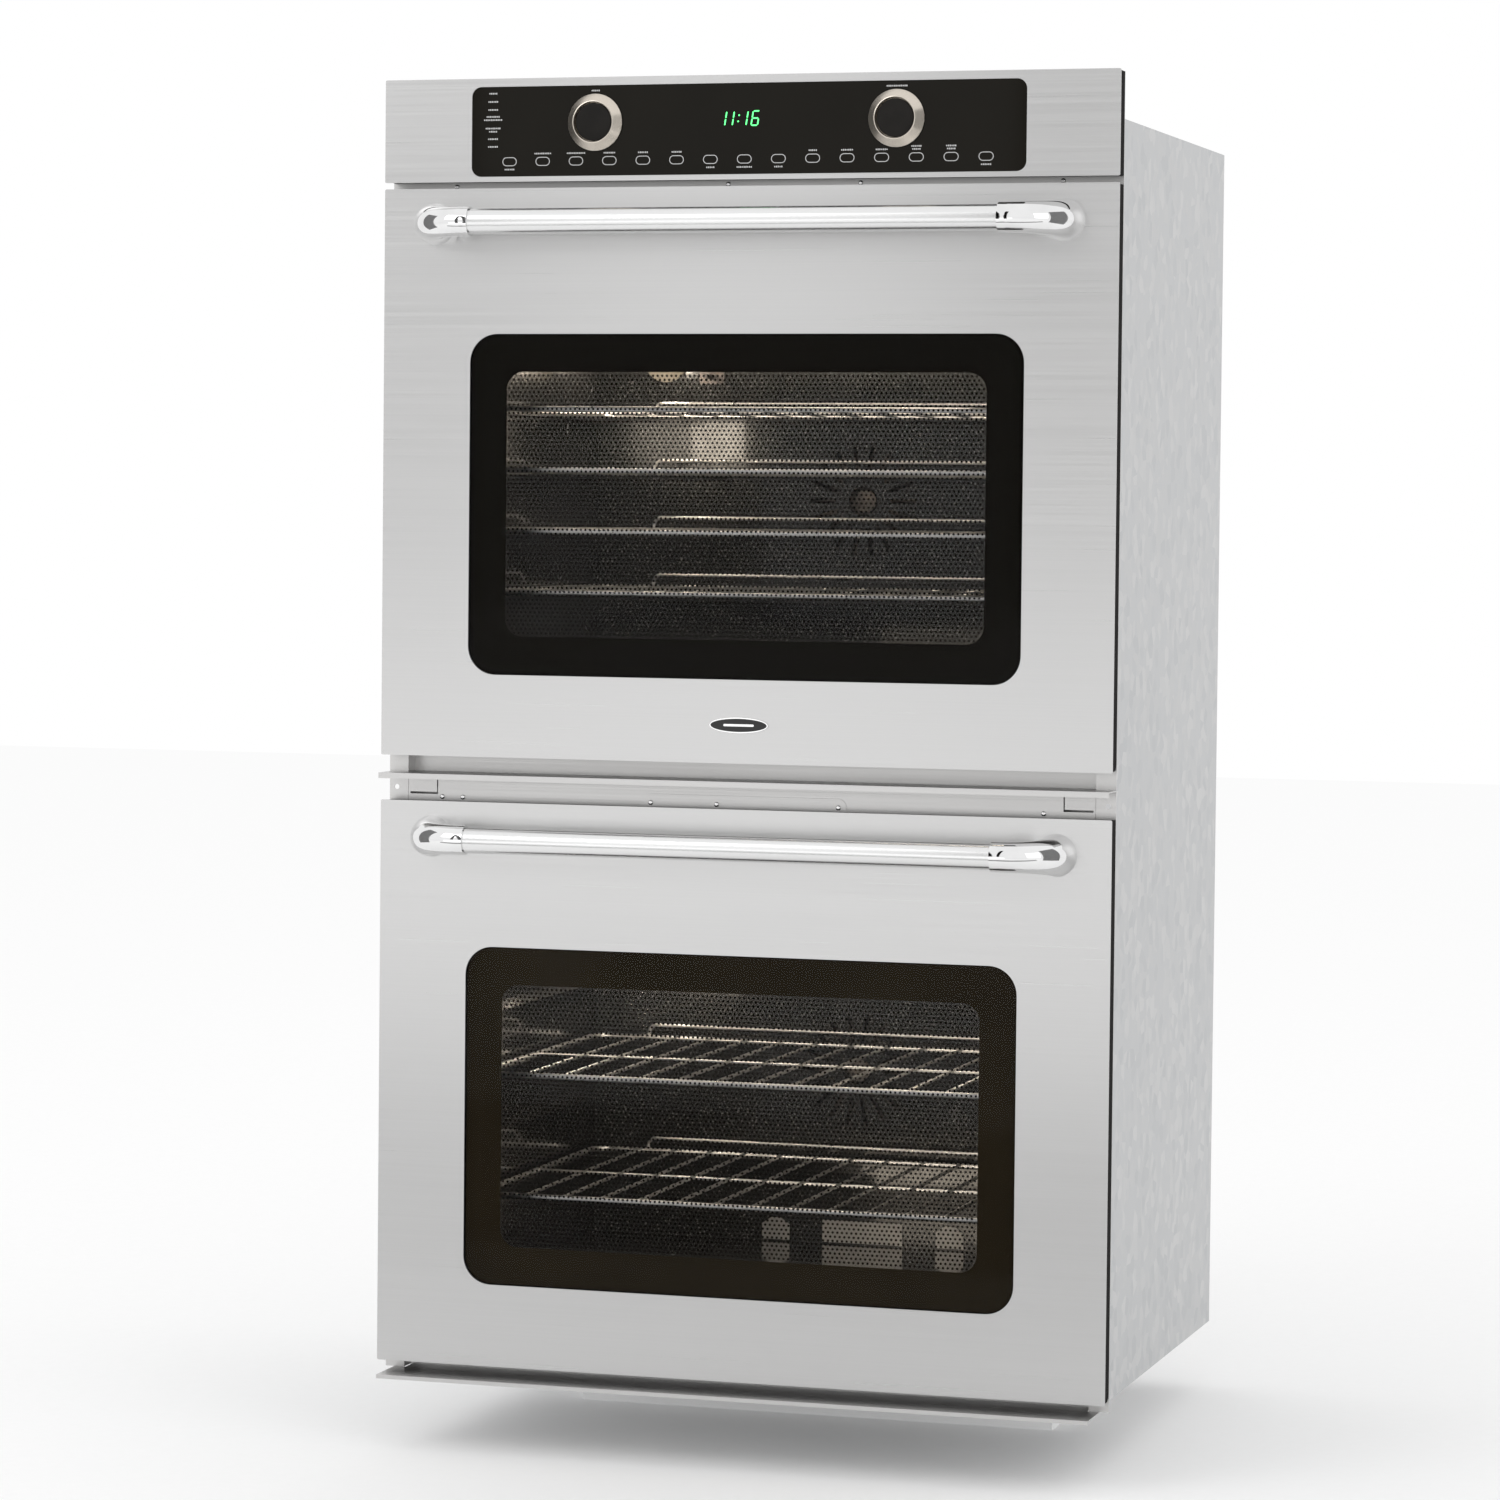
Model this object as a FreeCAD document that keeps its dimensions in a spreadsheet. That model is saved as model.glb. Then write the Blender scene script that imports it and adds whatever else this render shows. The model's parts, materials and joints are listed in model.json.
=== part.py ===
import FreeCAD, Part
import math
import os
import Sketcher
from FreeCAD import Placement, Rotation, Vector

# A built-in double wall oven.  Millimetres, +Z up, the front faces -Y and +X is to the
# right of someone who stands in front of it.  The origin lies under the middle of the
# whole object, on the plane of the base.

doc = FreeCAD.newDocument("DoubleWallOven")
sheet = doc.addObject("Spreadsheet::Sheet", "Dims")
layout = doc.addObject("App::VarSet", "Layout")
subparts = []


# ---------------------------------------------------------------- sizes and expressions

class Size:
    """A length that knows both its expression text and its value."""

    def __init__(self, text, value):
        self.text = text
        self.value = float(value)

    def __add__(self, other):
        other = size_of(other)
        return Size("(%s + %s)" % (self.text, other.text), self.value + other.value)

    def __sub__(self, other):
        other = size_of(other)
        return Size("(%s - %s)" % (self.text, other.text), self.value - other.value)

    def __mul__(self, other):
        other = size_of(other)
        return Size("(%s * %s)" % (self.text, other.text), self.value * other.value)

    def __truediv__(self, other):
        other = size_of(other)
        return Size("(%s / %s)" % (self.text, other.text), self.value / other.value)

    def __radd__(self, other):
        return size_of(other) + self

    def __rsub__(self, other):
        return size_of(other) - self

    def __rmul__(self, other):
        return size_of(other) * self

    def __neg__(self):
        return size_of(0) - self


def size_of(number):
    """A plain number as a Size; a Size stays as it is."""
    if isinstance(number, Size):
        return number
    return Size("%.9g" % number, number)


def driving(alias, value, remark):
    """Puts one driving dimension in the sheet and returns it."""
    row = driving.row
    driving.row += 1
    sheet.set("A%d" % row, remark)
    sheet.set("B%d" % row, str(value))
    sheet.setAlias("B%d" % row, alias)
    return Size("Dims." + alias, value)


driving.row = 1


def derived(name, amount):
    """Keeps a size worked out from driving ones under a name of its own."""
    layout.addProperty("App::PropertyFloat", name, "Layout")
    layout.setExpression(name, amount.text)
    return Size("Layout." + name, amount.value)


def bind(thing, path, amount):
    """Ties a property of an object to an amount."""
    thing.setExpression(path, size_of(amount).text)


def place(thing, x, y, z):
    """Ties the position of an object to three amounts."""
    for axis, amount in (("x", x), ("y", y), ("z", z)):
        bind(thing, "Placement.Base." + axis, amount)


# ------------------------------------------------------------------- driving dimensions

overall_width = driving("overall_width", 756, "width of doors and fascia")
door_height = driving("door_height", 570, "height of each door")
door_gap = driving("door_gap", 45.5, "space between the two doors")
fascia_height = driving("fascia_height", 103, "height of the control fascia")
fascia_gap = driving("fascia_gap", 6.3, "space between fascia and upper door")
sill_gap = driving("sill_gap", 10, "space between lower door and bottom lip")
lip_lift = driving("lip_lift", 1, "bottom lip above the base plane")
lip_edge = driving("lip_edge", 4, "height of the bottom lip's folded edge")
lip_reach = driving("lip_reach", 28, "bottom lip in front of the door face")
lip_inset = driving("lip_inset", 10, "bottom lip's ends inside the door's edges")
body_depth = driving("body_depth", 608, "door face to back panel")
gauge = driving("gauge", 1.2, "sheet steel of chassis and trims")
flange_setback = driving("flange_setback", 22.5, "door face to flange face")
recess_depth = driving("recess_depth", 20, "flange face to recessed face")
flange_width = driving("flange_width", 20, "visible width of a side flange")
frame_inset = driving("frame_inset", 1, "front frame inside the door's edges")
chassis_drop = driving("chassis_drop", 40, "chassis top below the fascia's top")
recess_margin = driving("recess_margin", 25, "recess below the fascia's top")
pan_height = driving("pan_height", 14, "wall of the base pan")
vent_half = driving("vent_half", 90, "half the width of a back vent")
vent_height = driving("vent_height", 4, "height of a back vent")
vent_pitch = driving("vent_pitch", 9, "distance between back vents")
vent_drop = driving("vent_drop", 60, "lowest back vent below the upper door's top")
mouth_rise = driving("mouth_rise", 10, "frame's control opening above the fascia's bottom")
mouth_drop = driving("mouth_drop", 4, "frame's control opening below the recess's top")

skin_gauge = driving("skin_gauge", 1.5, "stainless door and fascia skins")
casing_depth = driving("casing_depth", 20, "black door casing behind the skin")
casing_rail = driving("casing_rail", 24, "width of a casing's rail")
casing_end = driving("casing_end", 14, "height of a door casing's top and bottom rails")
casing_web = driving("casing_web", 1.5, "casing web behind the glass")
edge_inset = driving("edge_inset", 1, "casing inside the skin's edges")
skin_corner = driving("skin_corner", 1.5, "corner radius of door and fascia skins")
casing_corner = driving("casing_corner", 1, "outer corner radius of a casing")
hollow_corner = driving("hollow_corner", 3, "inner corner radius of a casing")
corner_chamfer = driving("corner_chamfer", 6, "chamfer along the casing's lower back edge")
glass_thick = driving("glass_thick", 4, "thickness of every pane")
glass_play = driving("glass_play", 0.4, "space around a pane in its opening")
window_side = driving("window_side", 92.5, "window opening to the door's side edge")
window_over = driving("window_over", 145.4, "window opening below the door's top")
window_under = driving("window_under", 83, "window opening above the door's bottom")
window_corner = driving("window_corner", 28.6, "corner radius of the window opening")
glass_lap = driving("glass_lap", 15, "pane held behind by this much all round")
liner_side = driving("liner_side", 30, "liner inside the door's side edge")
liner_end = driving("liner_end", 17, "liner inside the door's top and bottom")
liner_corner = driving("liner_corner", 12, "corner radius of the liner")
liner_lap = driving("liner_lap", 24, "liner's window inside the door's opening")

handle_radius = driving("handle_radius", 12.7, "radius of the handle tube")
handle_wall = driving("handle_wall", 1.5, "wall of the handle tube")
handle_reach = driving("handle_reach", 44, "tube axis in front of the door face")
handle_drop = driving("handle_drop", 35.5, "tube axis below the door's top")
handle_side = driving("handle_side", 108, "bare tube's end to the door's edge")
handle_socket = driving("handle_socket", 15, "tube inside its end bracket")
collar_wall = driving("collar_wall", 2.05, "end bracket's wall around the tube")
collar_length = driving("collar_length", 9, "straight part of the end bracket")
foot_flare = driving("foot_flare", 6.25, "end bracket's foot wider than its collar")

pivot_setback = driving("pivot_setback", 12, "hinge axis behind the door face")
pivot_rise = driving("pivot_rise", 8, "hinge axis above the door's bottom")
pin_radius = driving("pin_radius", 3, "radius of a hinge pin")
pin_play = driving("pin_play", 0.05, "running clearance of pins and shafts")
hinge_side = driving("hinge_side", 43, "hinge arm inside the door's edge")
arm_thick = driving("arm_thick", 8, "thickness of a hinge arm")
arm_radius = driving("arm_radius", 7, "rounded nose of a hinge arm")
arm_play = driving("arm_play", 1, "space around a hinge arm")
pin_length = driving("pin_length", 26, "length of a hinge pin")
mount_depth = driving("mount_depth", 60, "hinge mount behind the frame")
mount_height = driving("mount_height", 36, "height of a hinge mount")
mount_half = driving("mount_half", 12.8, "half the width of a hinge mount's plate")

shelf_drop = driving("shelf_drop", 17.7, "middle shelf below the upper door")
shelf_edge = driving("shelf_edge", 5.7, "height of the middle shelf's folded edge")
shelf_reach = driving("shelf_reach", 10, "middle shelf in front of the door face")
tab_width = driving("tab_width", 32, "end tab of the middle strip")
tab_neck = driving("tab_neck", 2, "end tab's slot short of the strip's end")
tab_rise = driving("tab_rise", 5.5, "end tab's slot above the lower door")
tab_slot = driving("tab_slot", 2.2, "height of the end tab's slot")
plate_left = driving("plate_left", -106, "left end of the access plate")
plate_width = driving("plate_width", 211, "width of the access plate")
plate_height = driving("plate_height", 21, "height of the access plate")
plate_corner = driving("plate_corner", 8, "corner radius of the access plate")
plate_thick = driving("plate_thick", 0.8, "thickness of the access plate")
plate_screw_inset = driving("plate_screw_inset", 8, "end screws inside the access plate")
plate_screw_place = driving("plate_screw_place", 77, "middle screw from the plate's left")
strip_lap = driving("strip_lap", 9, "middle strip below the lower door's top")

cavity_rise = driving("cavity_rise", 67, "cavity floor above the door's bottom")
cavity_side = driving("cavity_side", 70, "cavity's inside to the door's side edge")
cavity_over = driving("cavity_over", 95, "cavity ceiling below the door's top")
rear_space = driving("rear_space", 129.3, "cavity's back wall to the back panel")
cavity_wall = driving("cavity_wall", 1.5, "wall of a cavity")
gasket_thick = driving("gasket_thick", 2.2, "door gasket, squeezed")
gasket_width = driving("gasket_width", 10, "width of the door gasket")
gasket_gap = driving("gasket_gap", 7, "gasket outside the cavity's mouth")

rack_first = driving("rack_first", 98, "lowest used rack level above the floor")
rack_pitch = driving("rack_pitch", 62, "distance between rack levels")
rack_play = driving("rack_play", 11, "space between a rack and the cavity's side")
rack_front = driving("rack_front", 62, "rack's front wire behind the door face")
rack_rear = driving("rack_rear", 10.7, "space between a rack and the fan cover")
rack_rod = driving("rack_rod", 3, "radius of a rack's frame wire")
rack_wire = driving("rack_wire", 1.9, "radius of a rack's inner wire")
wire_pitch = driving("wire_pitch", 40, "distance between a rack's inner wires")
rack_bend = driving("rack_bend", 18, "corner radius of a rack")
rail_rise = driving("rail_rise", 14, "raised back rail above the rack")
rail_inset = driving("rail_inset", 62, "raised back rail inside the rack's side")
rail_bend = driving("rail_bend", 9, "bend radius of the raised back rail")
rest_gap = driving("rest_gap", 0.3, "rack wire above its guide")
guide_reach = driving("guide_reach", 18, "rack guide out from the cavity's wall")
guide_margin = driving("guide_margin", 26, "guide plate above its top ledge")
guide_lift = driving("guide_lift", 10, "guide plate above the oven floor")
guide_start = driving("guide_start", 8, "rack guide behind the rack's front wire")
guide_top = driving("guide_top", 28, "highest ledge at least this far below the ceiling")

fan_rise = driving("fan_rise", 194, "fan axis above the cavity floor")
fan_radius = driving("fan_radius", 68, "radius of the convection fan")
fan_hub = driving("fan_hub", 12, "radius of the fan's hub")
fan_width = driving("fan_width", 15, "width of the fan's blades")
blade_start = driving("blade_start", 19.2, "inner radius of the fan's blades")
fan_gap = driving("fan_gap", 3, "fan in front of the cavity's back wall")
shaft_reach = driving("shaft_reach", 36, "fan shaft behind the cavity")
shaft_play = driving("shaft_play", 5, "motor's bore beyond the fan shaft")
shaft_radius = driving("shaft_radius", 4, "radius of fan and blower shafts")
cover_half = driving("cover_half", 146, "half the fan cover's width")
cover_high = driving("cover_high", 112, "half the fan cover's height")
cover_depth = driving("cover_depth", 28, "fan cover out from the back wall")
cover_corner = driving("cover_corner", 14, "corner radius of the fan cover")
cover_centre = driving("cover_centre", 16, "radius of the fan cover's centre hole")
slot_inner = driving("slot_inner", 30, "fan cover slots start at this radius")
slot_outer = driving("slot_outer", 60, "fan cover slots end at this radius")
slot_width = driving("slot_width", 5, "width of a fan cover slot")
slot_corner = driving("slot_corner", 2.25, "corner radius of a fan cover slot")
motor_radius = driving("motor_radius", 36, "radius of a fan motor")
motor_length = driving("motor_length", 48, "length of a fan motor")
motor_plate = driving("motor_plate", 50.4, "half the width of a fan motor's plate")
motor_plate_high = driving("motor_plate_high", 32.4, "half the height of that plate")
element_radius = driving("element_radius", 3.5, "radius of a heating element")
element_pitch = driving("element_pitch", 120, "distance between element legs")
element_drop = driving("element_drop", 24, "broil element below the ceiling")
ring_radius = driving("ring_radius", 84, "radius of the convection element")
tail_length = driving("tail_length", 20, "element and sensor tails behind the cavity")
lamp_side = driving("lamp_side", 76, "lamp inside the cavity's side")
lamp_drop = driving("lamp_drop", 62, "lamp below the ceiling")
lens_radius = driving("lens_radius", 24, "radius of a lamp lens")
socket_radius = driving("socket_radius", 17, "radius of a lamp socket")
lens_thick = driving("lens_thick", 6, "thickness of a lamp lens")
socket_length = driving("socket_length", 24, "lamp socket behind the cavity")
bracket_rise = driving("bracket_rise", 2, "element brackets above the cavity floor")
bracket_height = driving("bracket_height", 24, "height of an element bracket")
bracket_half = driving("bracket_half", 45, "half the width of the middle bracket")
bracket_screw = driving("bracket_screw", 28, "middle bracket's screws from the middle")
bracket_screw_rise = driving("bracket_screw_rise", 14, "those screws above the floor")
pointed_place = driving("pointed_place", 98, "pointed brackets from the middle")
pointed_half = driving("pointed_half", 15.5, "half the width of a pointed bracket")
pointed_tip = driving("pointed_tip", 5, "half the width of its tip")
pointed_shoulder = driving("pointed_shoulder", 17, "height of its straight sides")
pointed_screw_rise = driving("pointed_screw_rise", 12, "its screw above the floor")

control_side = driving("control_side", 92.6, "control glass opening to the fascia's edge")
control_over = driving("control_over", 8.2, "control glass opening below the top")
control_height = driving("control_height", 89.6, "height of the control glass opening")
control_corner = driving("control_corner", 10, "corner radius of the control glass opening")
control_lap = driving("control_lap", 6, "control glass held behind by this much")
knob_place = driving("knob_place", 155, "knob from the middle")
knob_drop = driving("knob_drop", 45, "knob below the fascia's top")
knob_radius = driving("knob_radius", 28.25, "outer radius of a knob's ring")
knob_rim = driving("knob_rim", 21, "radius of the ring's front rim")
knob_cap = driving("knob_cap", 19.4, "radius of the knob's centre disc")
knob_height = driving("knob_height", 9.4, "knob's front in front of the glass")
knob_gap = driving("knob_gap", 0.6, "knob's back in front of the glass")
knob_web = driving("knob_web", 2.4, "thickness of the knob's floor")
knob_bevel = driving("knob_bevel", 2.2, "depth of the ring's inner chamfer")
knob_land = driving("knob_land", 0.8, "width of the ring's front rim")
knob_round = driving("knob_round", 0.2, "rounding of the ring's front rim")
knob_skirt = driving("knob_skirt", 1.2, "height of the ring's straight skirt")
knob_shaft = driving("knob_shaft", 9.5, "knob shaft behind the glass's face")
knob_shaft_play = driving("knob_shaft_play", 0.5, "encoder bore beyond the knob shaft")
disc_thick = driving("disc_thick", 3, "thickness of the knob's centre disc")
encoder_radius = driving("encoder_radius", 10, "radius of a knob's encoder")
board_margin = driving("board_margin", 4, "board inside the glass opening's edges")
board_setback = driving("board_setback", 12, "control board behind the fascia's face")
board_side = driving("board_side", 2, "board inside the glass opening's sides")
board_thick = driving("board_thick", 1.6, "thickness of the control board")
post_radius = driving("post_radius", 1.5, "radius of a board post")
post_inset = driving("post_inset", 1, "board post inside the board's edge")
display_half = driving("display_half", 32, "half the width of the display")
display_high = driving("display_high", 13, "half the height of the display")

screw_edge = driving("screw_edge", 7.6, "cabinet screw hole to the frame's edge")
screw_hole = driving("screw_hole", 2.6, "radius of a cabinet screw hole")
screw_head = driving("screw_head", 3.2, "radius of a bracket screw's head")
trim_head = driving("trim_head", 2.56, "radius of a trim screw's head")
strip_screw_rise = driving("strip_screw_rise", 3.2, "strip screws above the lower door")
screw_height = driving("screw_height", 1.4, "height of a screw's head")
row_end = driving("row_end", 100, "outer screw rows inside the doors' ends")
row_middle = driving("row_middle", 12, "middle screw row above the lower door")
box_width = driving("box_width", 110, "width of the junction box")
box_depth = driving("box_depth", 80, "depth of the junction box")
box_height = driving("box_height", 34, "height of the junction box")
box_side = driving("box_side", 60, "junction box inside the chassis's left side")
box_rear = driving("box_rear", 6, "cable gland's end inside the back")
gland_radius = driving("gland_radius", 14, "outer radius of the cable gland")
gland_bore = driving("gland_bore", 9, "radius of the cable gland's bore")
gland_length = driving("gland_length", 22, "length of the cable gland")
gland_neck = driving("gland_neck", 10.5, "radius of the cable gland's neck")
gland_lock = driving("gland_lock", 8, "cable gland's neck inside the box")
badge_width = driving("badge_width", 61, "width of the oval badge")
badge_height = driving("badge_height", 16, "height of the oval badge")
badge_rise = driving("badge_rise", 38, "badge above the door's bottom")
badge_thick = driving("badge_thick", 1.4, "thickness of the badge")

latch_length = driving("latch_length", 30, "reach of a lock latch from its pivot")
latch_thick = driving("latch_thick", 3, "thickness of a lock latch")
latch_half = driving("latch_half", 4, "half the width of a lock latch")
latch_eye = driving("latch_eye", 8, "radius of a lock latch's eye")
axle_reach = driving("axle_reach", 8, "latch axle above and below the latch")
bracket_left = driving("bracket_left", 20, "latch bracket left of the pivot")
bracket_right = driving("bracket_right", 24, "latch bracket right of the pivot")
bracket_behind = driving("bracket_behind", 18, "latch bracket behind the pivot")
bracket_ear = driving("bracket_ear", 8, "height of the latch bracket's ear")
switch_half = driving("switch_half", 12, "half the width of a door switch")
switch_high = driving("switch_high", 10, "half the height of a door switch")
switch_depth = driving("switch_depth", 40, "depth of a door switch")
latch_drop = driving("latch_drop", 34, "lock latch below the door's top")
latch_setback = driving("latch_setback", 17, "latch pivot behind the recessed face")
plunger_radius = driving("plunger_radius", 3, "radius of a door switch plunger")
plunger_side = driving("plunger_side", 52, "plunger inside the door's left edge")
plunger_drop = driving("plunger_drop", 40, "plunger below the door's top")
plunger_length = driving("plunger_length", 30, "length of a plunger")
ring_tail_x = driving("ring_tail_x", 14, "convection element's tails from the middle")
sensor_gap = driving("sensor_gap", 51.5, "temperature sensor from the left lamp")
sensor_drop = driving("sensor_drop", 80, "temperature sensor below the ceiling")
sensor_radius = driving("sensor_radius", 2.6, "radius of the temperature sensor")
sensor_length = driving("sensor_length", 26, "temperature sensor in the cavity")
sensor_plate = driving("sensor_plate", 14, "half the width of the sensor's plate")
sensor_plate_high = driving("sensor_plate_high", 8, "half the height of that plate")

blower_radius = driving("blower_radius", 60, "radius of the blower housing")
blower_length = driving("blower_length", 200, "length of the blower housing")
blower_setback = driving("blower_setback", 330, "blower axis behind the door face")
wheel_radius = driving("wheel_radius", 48, "radius of the blower wheel")
wheel_length = driving("wheel_length", 170, "length of the blower wheel")
wheel_blade = driving("wheel_blade", 12, "depth of the blower wheel's blades")
wheel_axle = driving("wheel_axle", 12, "blower shaft outside the housing")
blower_lift = driving("blower_lift", 10, "blower housing above the upper cavity")
duct_height = driving("duct_height", 30, "height of the blower's outlet duct")
duct_inset = driving("duct_inset", 10, "duct and feet inside the housing's ends")
foot_thick = driving("foot_thick", 10, "thickness of a blower foot")
foot_half = driving("foot_half", 30, "half the depth of a blower foot")
foot_lap = driving("foot_lap", 6, "blower foot reaches into the housing's wall")

LOWER_RACKS = (0, 2)
UPPER_RACKS = (0, 1, 2, 3)
BACK_VENTS = 8
ELBOW_STEPS = 8
COVER_SLOTS = 18
FAN_BLADES = 12
WHEEL_BLADES = 24
# Screws near an end are held by their side and their distance from the door's edge.
STRIP_SCREWS = ((-1, 58), (-1, 80), (1, 73))
RAIL_END_SCREWS = ((-1, 69), (1, 61))
RAIL_SCREWS = (-23, 113)
# Cutters reach this far past what they cut.
OVER = 1

# ------------------------------------------------------------------------- the layout

half_width = derived("half_width", overall_width / 2)
collar_radius = derived("collar_radius", handle_radius + collar_wall)
foot_radius = derived("foot_radius", collar_radius + foot_flare)
face = derived("face", (handle_reach + collar_radius - body_depth) / 2)
back = derived("back", face + body_depth)
lip_top = derived("lip_top", lip_lift + lip_edge)
door_low = derived("door_low", lip_top + sill_gap)
oven_pitch = derived("oven_pitch", door_height + door_gap)
door_top = derived("door_top", door_low + door_height)
upper_low = derived("upper_low", door_low + oven_pitch)
upper_top = derived("upper_top", upper_low + door_height)
fascia_low = derived("fascia_low", upper_top + fascia_gap)
fascia_top = derived("fascia_top", fascia_low + fascia_height)
chassis_top = derived("chassis_top", fascia_top - chassis_drop)
flange_face = derived("flange_face", face + flange_setback)
flange_back = derived("flange_back", flange_face + gauge)
recess_face = derived("recess_face", flange_face + recess_depth)
recess_back = derived("recess_back", recess_face + gauge)
liner_rear = derived("liner_rear", recess_face - gasket_thick - rest_gap)
frame_half = derived("frame_half", half_width - frame_inset)
recess_half = derived("recess_half", frame_half - flange_width)
chassis_half = derived("chassis_half", recess_half + gauge)
frame_top = derived("frame_top", fascia_top - frame_inset)
skin_back = derived("skin_back", face + skin_gauge)
casing_back = derived("casing_back", skin_back + casing_depth)
pane_back = derived("pane_back", face + glass_thick)
web_back = derived("web_back", pane_back + casing_web)
pivot_y = derived("pivot_y", face + pivot_setback)
pivot_z = derived("pivot_z", door_low + pivot_rise)
cavity_floor = derived("cavity_floor", door_low + cavity_rise)
ceiling = derived("ceiling", door_top - cavity_over)
cavity_half = derived("cavity_half", half_width - cavity_side)
cavity_back = derived("cavity_back", back - rear_space)
behind_cavity = derived("behind_cavity", cavity_back + cavity_wall)
fan_z = derived("fan_z", cavity_floor + fan_rise)
lamp_place = derived("lamp_place", cavity_half - lamp_side)
sensor_x = derived("sensor_x", sensor_gap - lamp_place)
rack_start = derived("rack_start", face + rack_front)
rack_end = derived("rack_end", cavity_back - cover_depth - rack_rear)
hinge_place = derived("hinge_place", half_width - hinge_side)
shelf_top = derived("shelf_top", upper_low - shelf_drop)
knob_z = derived("knob_z", fascia_top - knob_drop)
latch_z = derived("latch_z", door_top - latch_drop)
plunger_x = derived("plunger_x", plunger_side - half_width)
plunger_z = derived("plunger_z", door_top - plunger_drop)
cabinet_screw_rows = (door_low + row_end, door_top + row_middle, upper_top - row_end)
doc.recompute()


# --------------------------------------------------------------- solids from primitives

def box(name, x, y, z):
    """A block between the two ends given along each axis."""
    block = doc.addObject("Part::Box", name)
    for side, span in (("Length", x), ("Width", y), ("Height", z)):
        bind(block, side, size_of(span[1]) - span[0])
    place(block, x[0], y[0], z[0])
    return block


TURNED = {
    "X": Rotation(Vector(0, 1, 0), 90),
    "Y": Rotation(Vector(1, 0, 0), -90),
    "Z": Rotation(),
}


def rod(name, axis, start, length, radius):
    """A round bar from a point along +X, +Y or +Z."""
    bar = doc.addObject("Part::Cylinder", name)
    bar.Placement = Placement(Vector(), TURNED[axis])
    bind(bar, "Radius", radius)
    bind(bar, "Height", length)
    place(bar, *start)
    return bar


def bend(name, centre, turn, bend_radius, radius, sweep=90):
    """Part of a ring; turn carries the ring's own X and Y axes to its first quarter."""
    ring = doc.addObject("Part::Torus", name)
    ring.Placement = Placement(Vector(), turn)
    ring.Angle1 = -180
    ring.Angle2 = 180
    ring.Angle3 = sweep
    bind(ring, "Radius1", bend_radius)
    bind(ring, "Radius2", radius)
    place(ring, *centre)
    return ring


def fuse(name, *pieces):
    """The pieces joined into one."""
    joined = doc.addObject("Part::MultiFuse", name)
    joined.Shapes = list(pieces)
    return joined


def group(name, *pieces):
    """The pieces side by side, each a solid of its own."""
    kept = doc.addObject("Part::Compound", name)
    kept.Links = list(pieces)
    return kept


def cut(name, base, *tools):
    """The base less every tool."""
    result = doc.addObject("Part::Cut", name)
    result.Base = base
    result.Tool = tools[0] if len(tools) == 1 else fuse(name + "_tools", *tools)
    return result


def raised(name, piece, lift):
    """The same piece again, higher by lift."""
    copy = group(name, piece)
    place(copy, 0, 0, lift)
    return copy


def mirrored(name, piece):
    """The piece on the other side of the middle plane."""
    other = doc.addObject("Part::Mirroring", name)
    other.Source = piece
    other.Base = Vector(0, 0, 0)
    other.Normal = Vector(1, 0, 0)
    return other


def pair(name, piece):
    """The piece and its mirror image."""
    return group(name, piece, mirrored(name + "_mirror", piece))


def subpart(label, thing):
    """Marks an object as a sub-part under the name of its file."""
    thing.Label = label
    subparts.append(thing)
    return thing


def both(lift, amount):
    """A span symmetric about zero, or about lift."""
    return (size_of(lift) - amount, size_of(lift) + amount)


# ------------------------------------------------------------ bodies made from sketches

def new_body(name):
    return doc.addObject("PartDesign::Body", name)


def new_sketch(body, name, role, offset):
    """A sketch on one of the body's origin planes, moved along its normal by offset."""
    sketch = body.newObject("Sketcher::SketchObject", name)
    plane = [item for item in body.Origin.OriginFeatures if item.Role == role][0]
    sketch.AttachmentSupport = [(plane, "")]
    sketch.MapMode = "FlatFace"
    bind(sketch, "AttachmentOffset.Base.z", offset)
    return sketch


def fix_point(sketch, item, point, u, v):
    """Holds one point of a sketch at amounts measured from its origin."""
    for kind, amount in (("DistanceX", u), ("DistanceY", v)):
        number = sketch.addConstraint(
            Sketcher.Constraint(kind, -1, 1, item, point, size_of(amount).value))
        bind(sketch, "Constraints[%d]" % number, amount)


def fix_end(sketch, kind, item, amount):
    """Holds the start of an edge at an amount along one direction."""
    number = sketch.addConstraint(
        Sketcher.Constraint(kind, -1, 1, item, 1, size_of(amount).value))
    bind(sketch, "Constraints[%d]" % number, amount)


def add_polygon(sketch, points):
    """A closed outline through points, each a pair of amounts."""
    count = len(points)
    first = sketch.GeometryCount
    for k in range(count):
        a = [size_of(amount).value for amount in points[k]]
        b = [size_of(amount).value for amount in points[(k + 1) % count]]
        sketch.addGeometry(Part.LineSegment(Vector(a[0], a[1], 0), Vector(b[0], b[1], 0)))
    for k in range(count):
        sketch.addConstraint(
            Sketcher.Constraint("Coincident", first + k, 2, first + (k + 1) % count, 1))
        fix_point(sketch, first + k, 1, *points[k])


def add_circle(sketch, centre, radius):
    """A circle about a point."""
    u, v = [size_of(amount).value for amount in centre]
    item = sketch.addGeometry(
        Part.Circle(Vector(u, v, 0), Vector(0, 0, 1), size_of(radius).value))
    number = sketch.addConstraint(
        Sketcher.Constraint("Radius", item, size_of(radius).value))
    bind(sketch, "Constraints[%d]" % number, radius)
    fix_point(sketch, item, 3, *centre)


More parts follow.
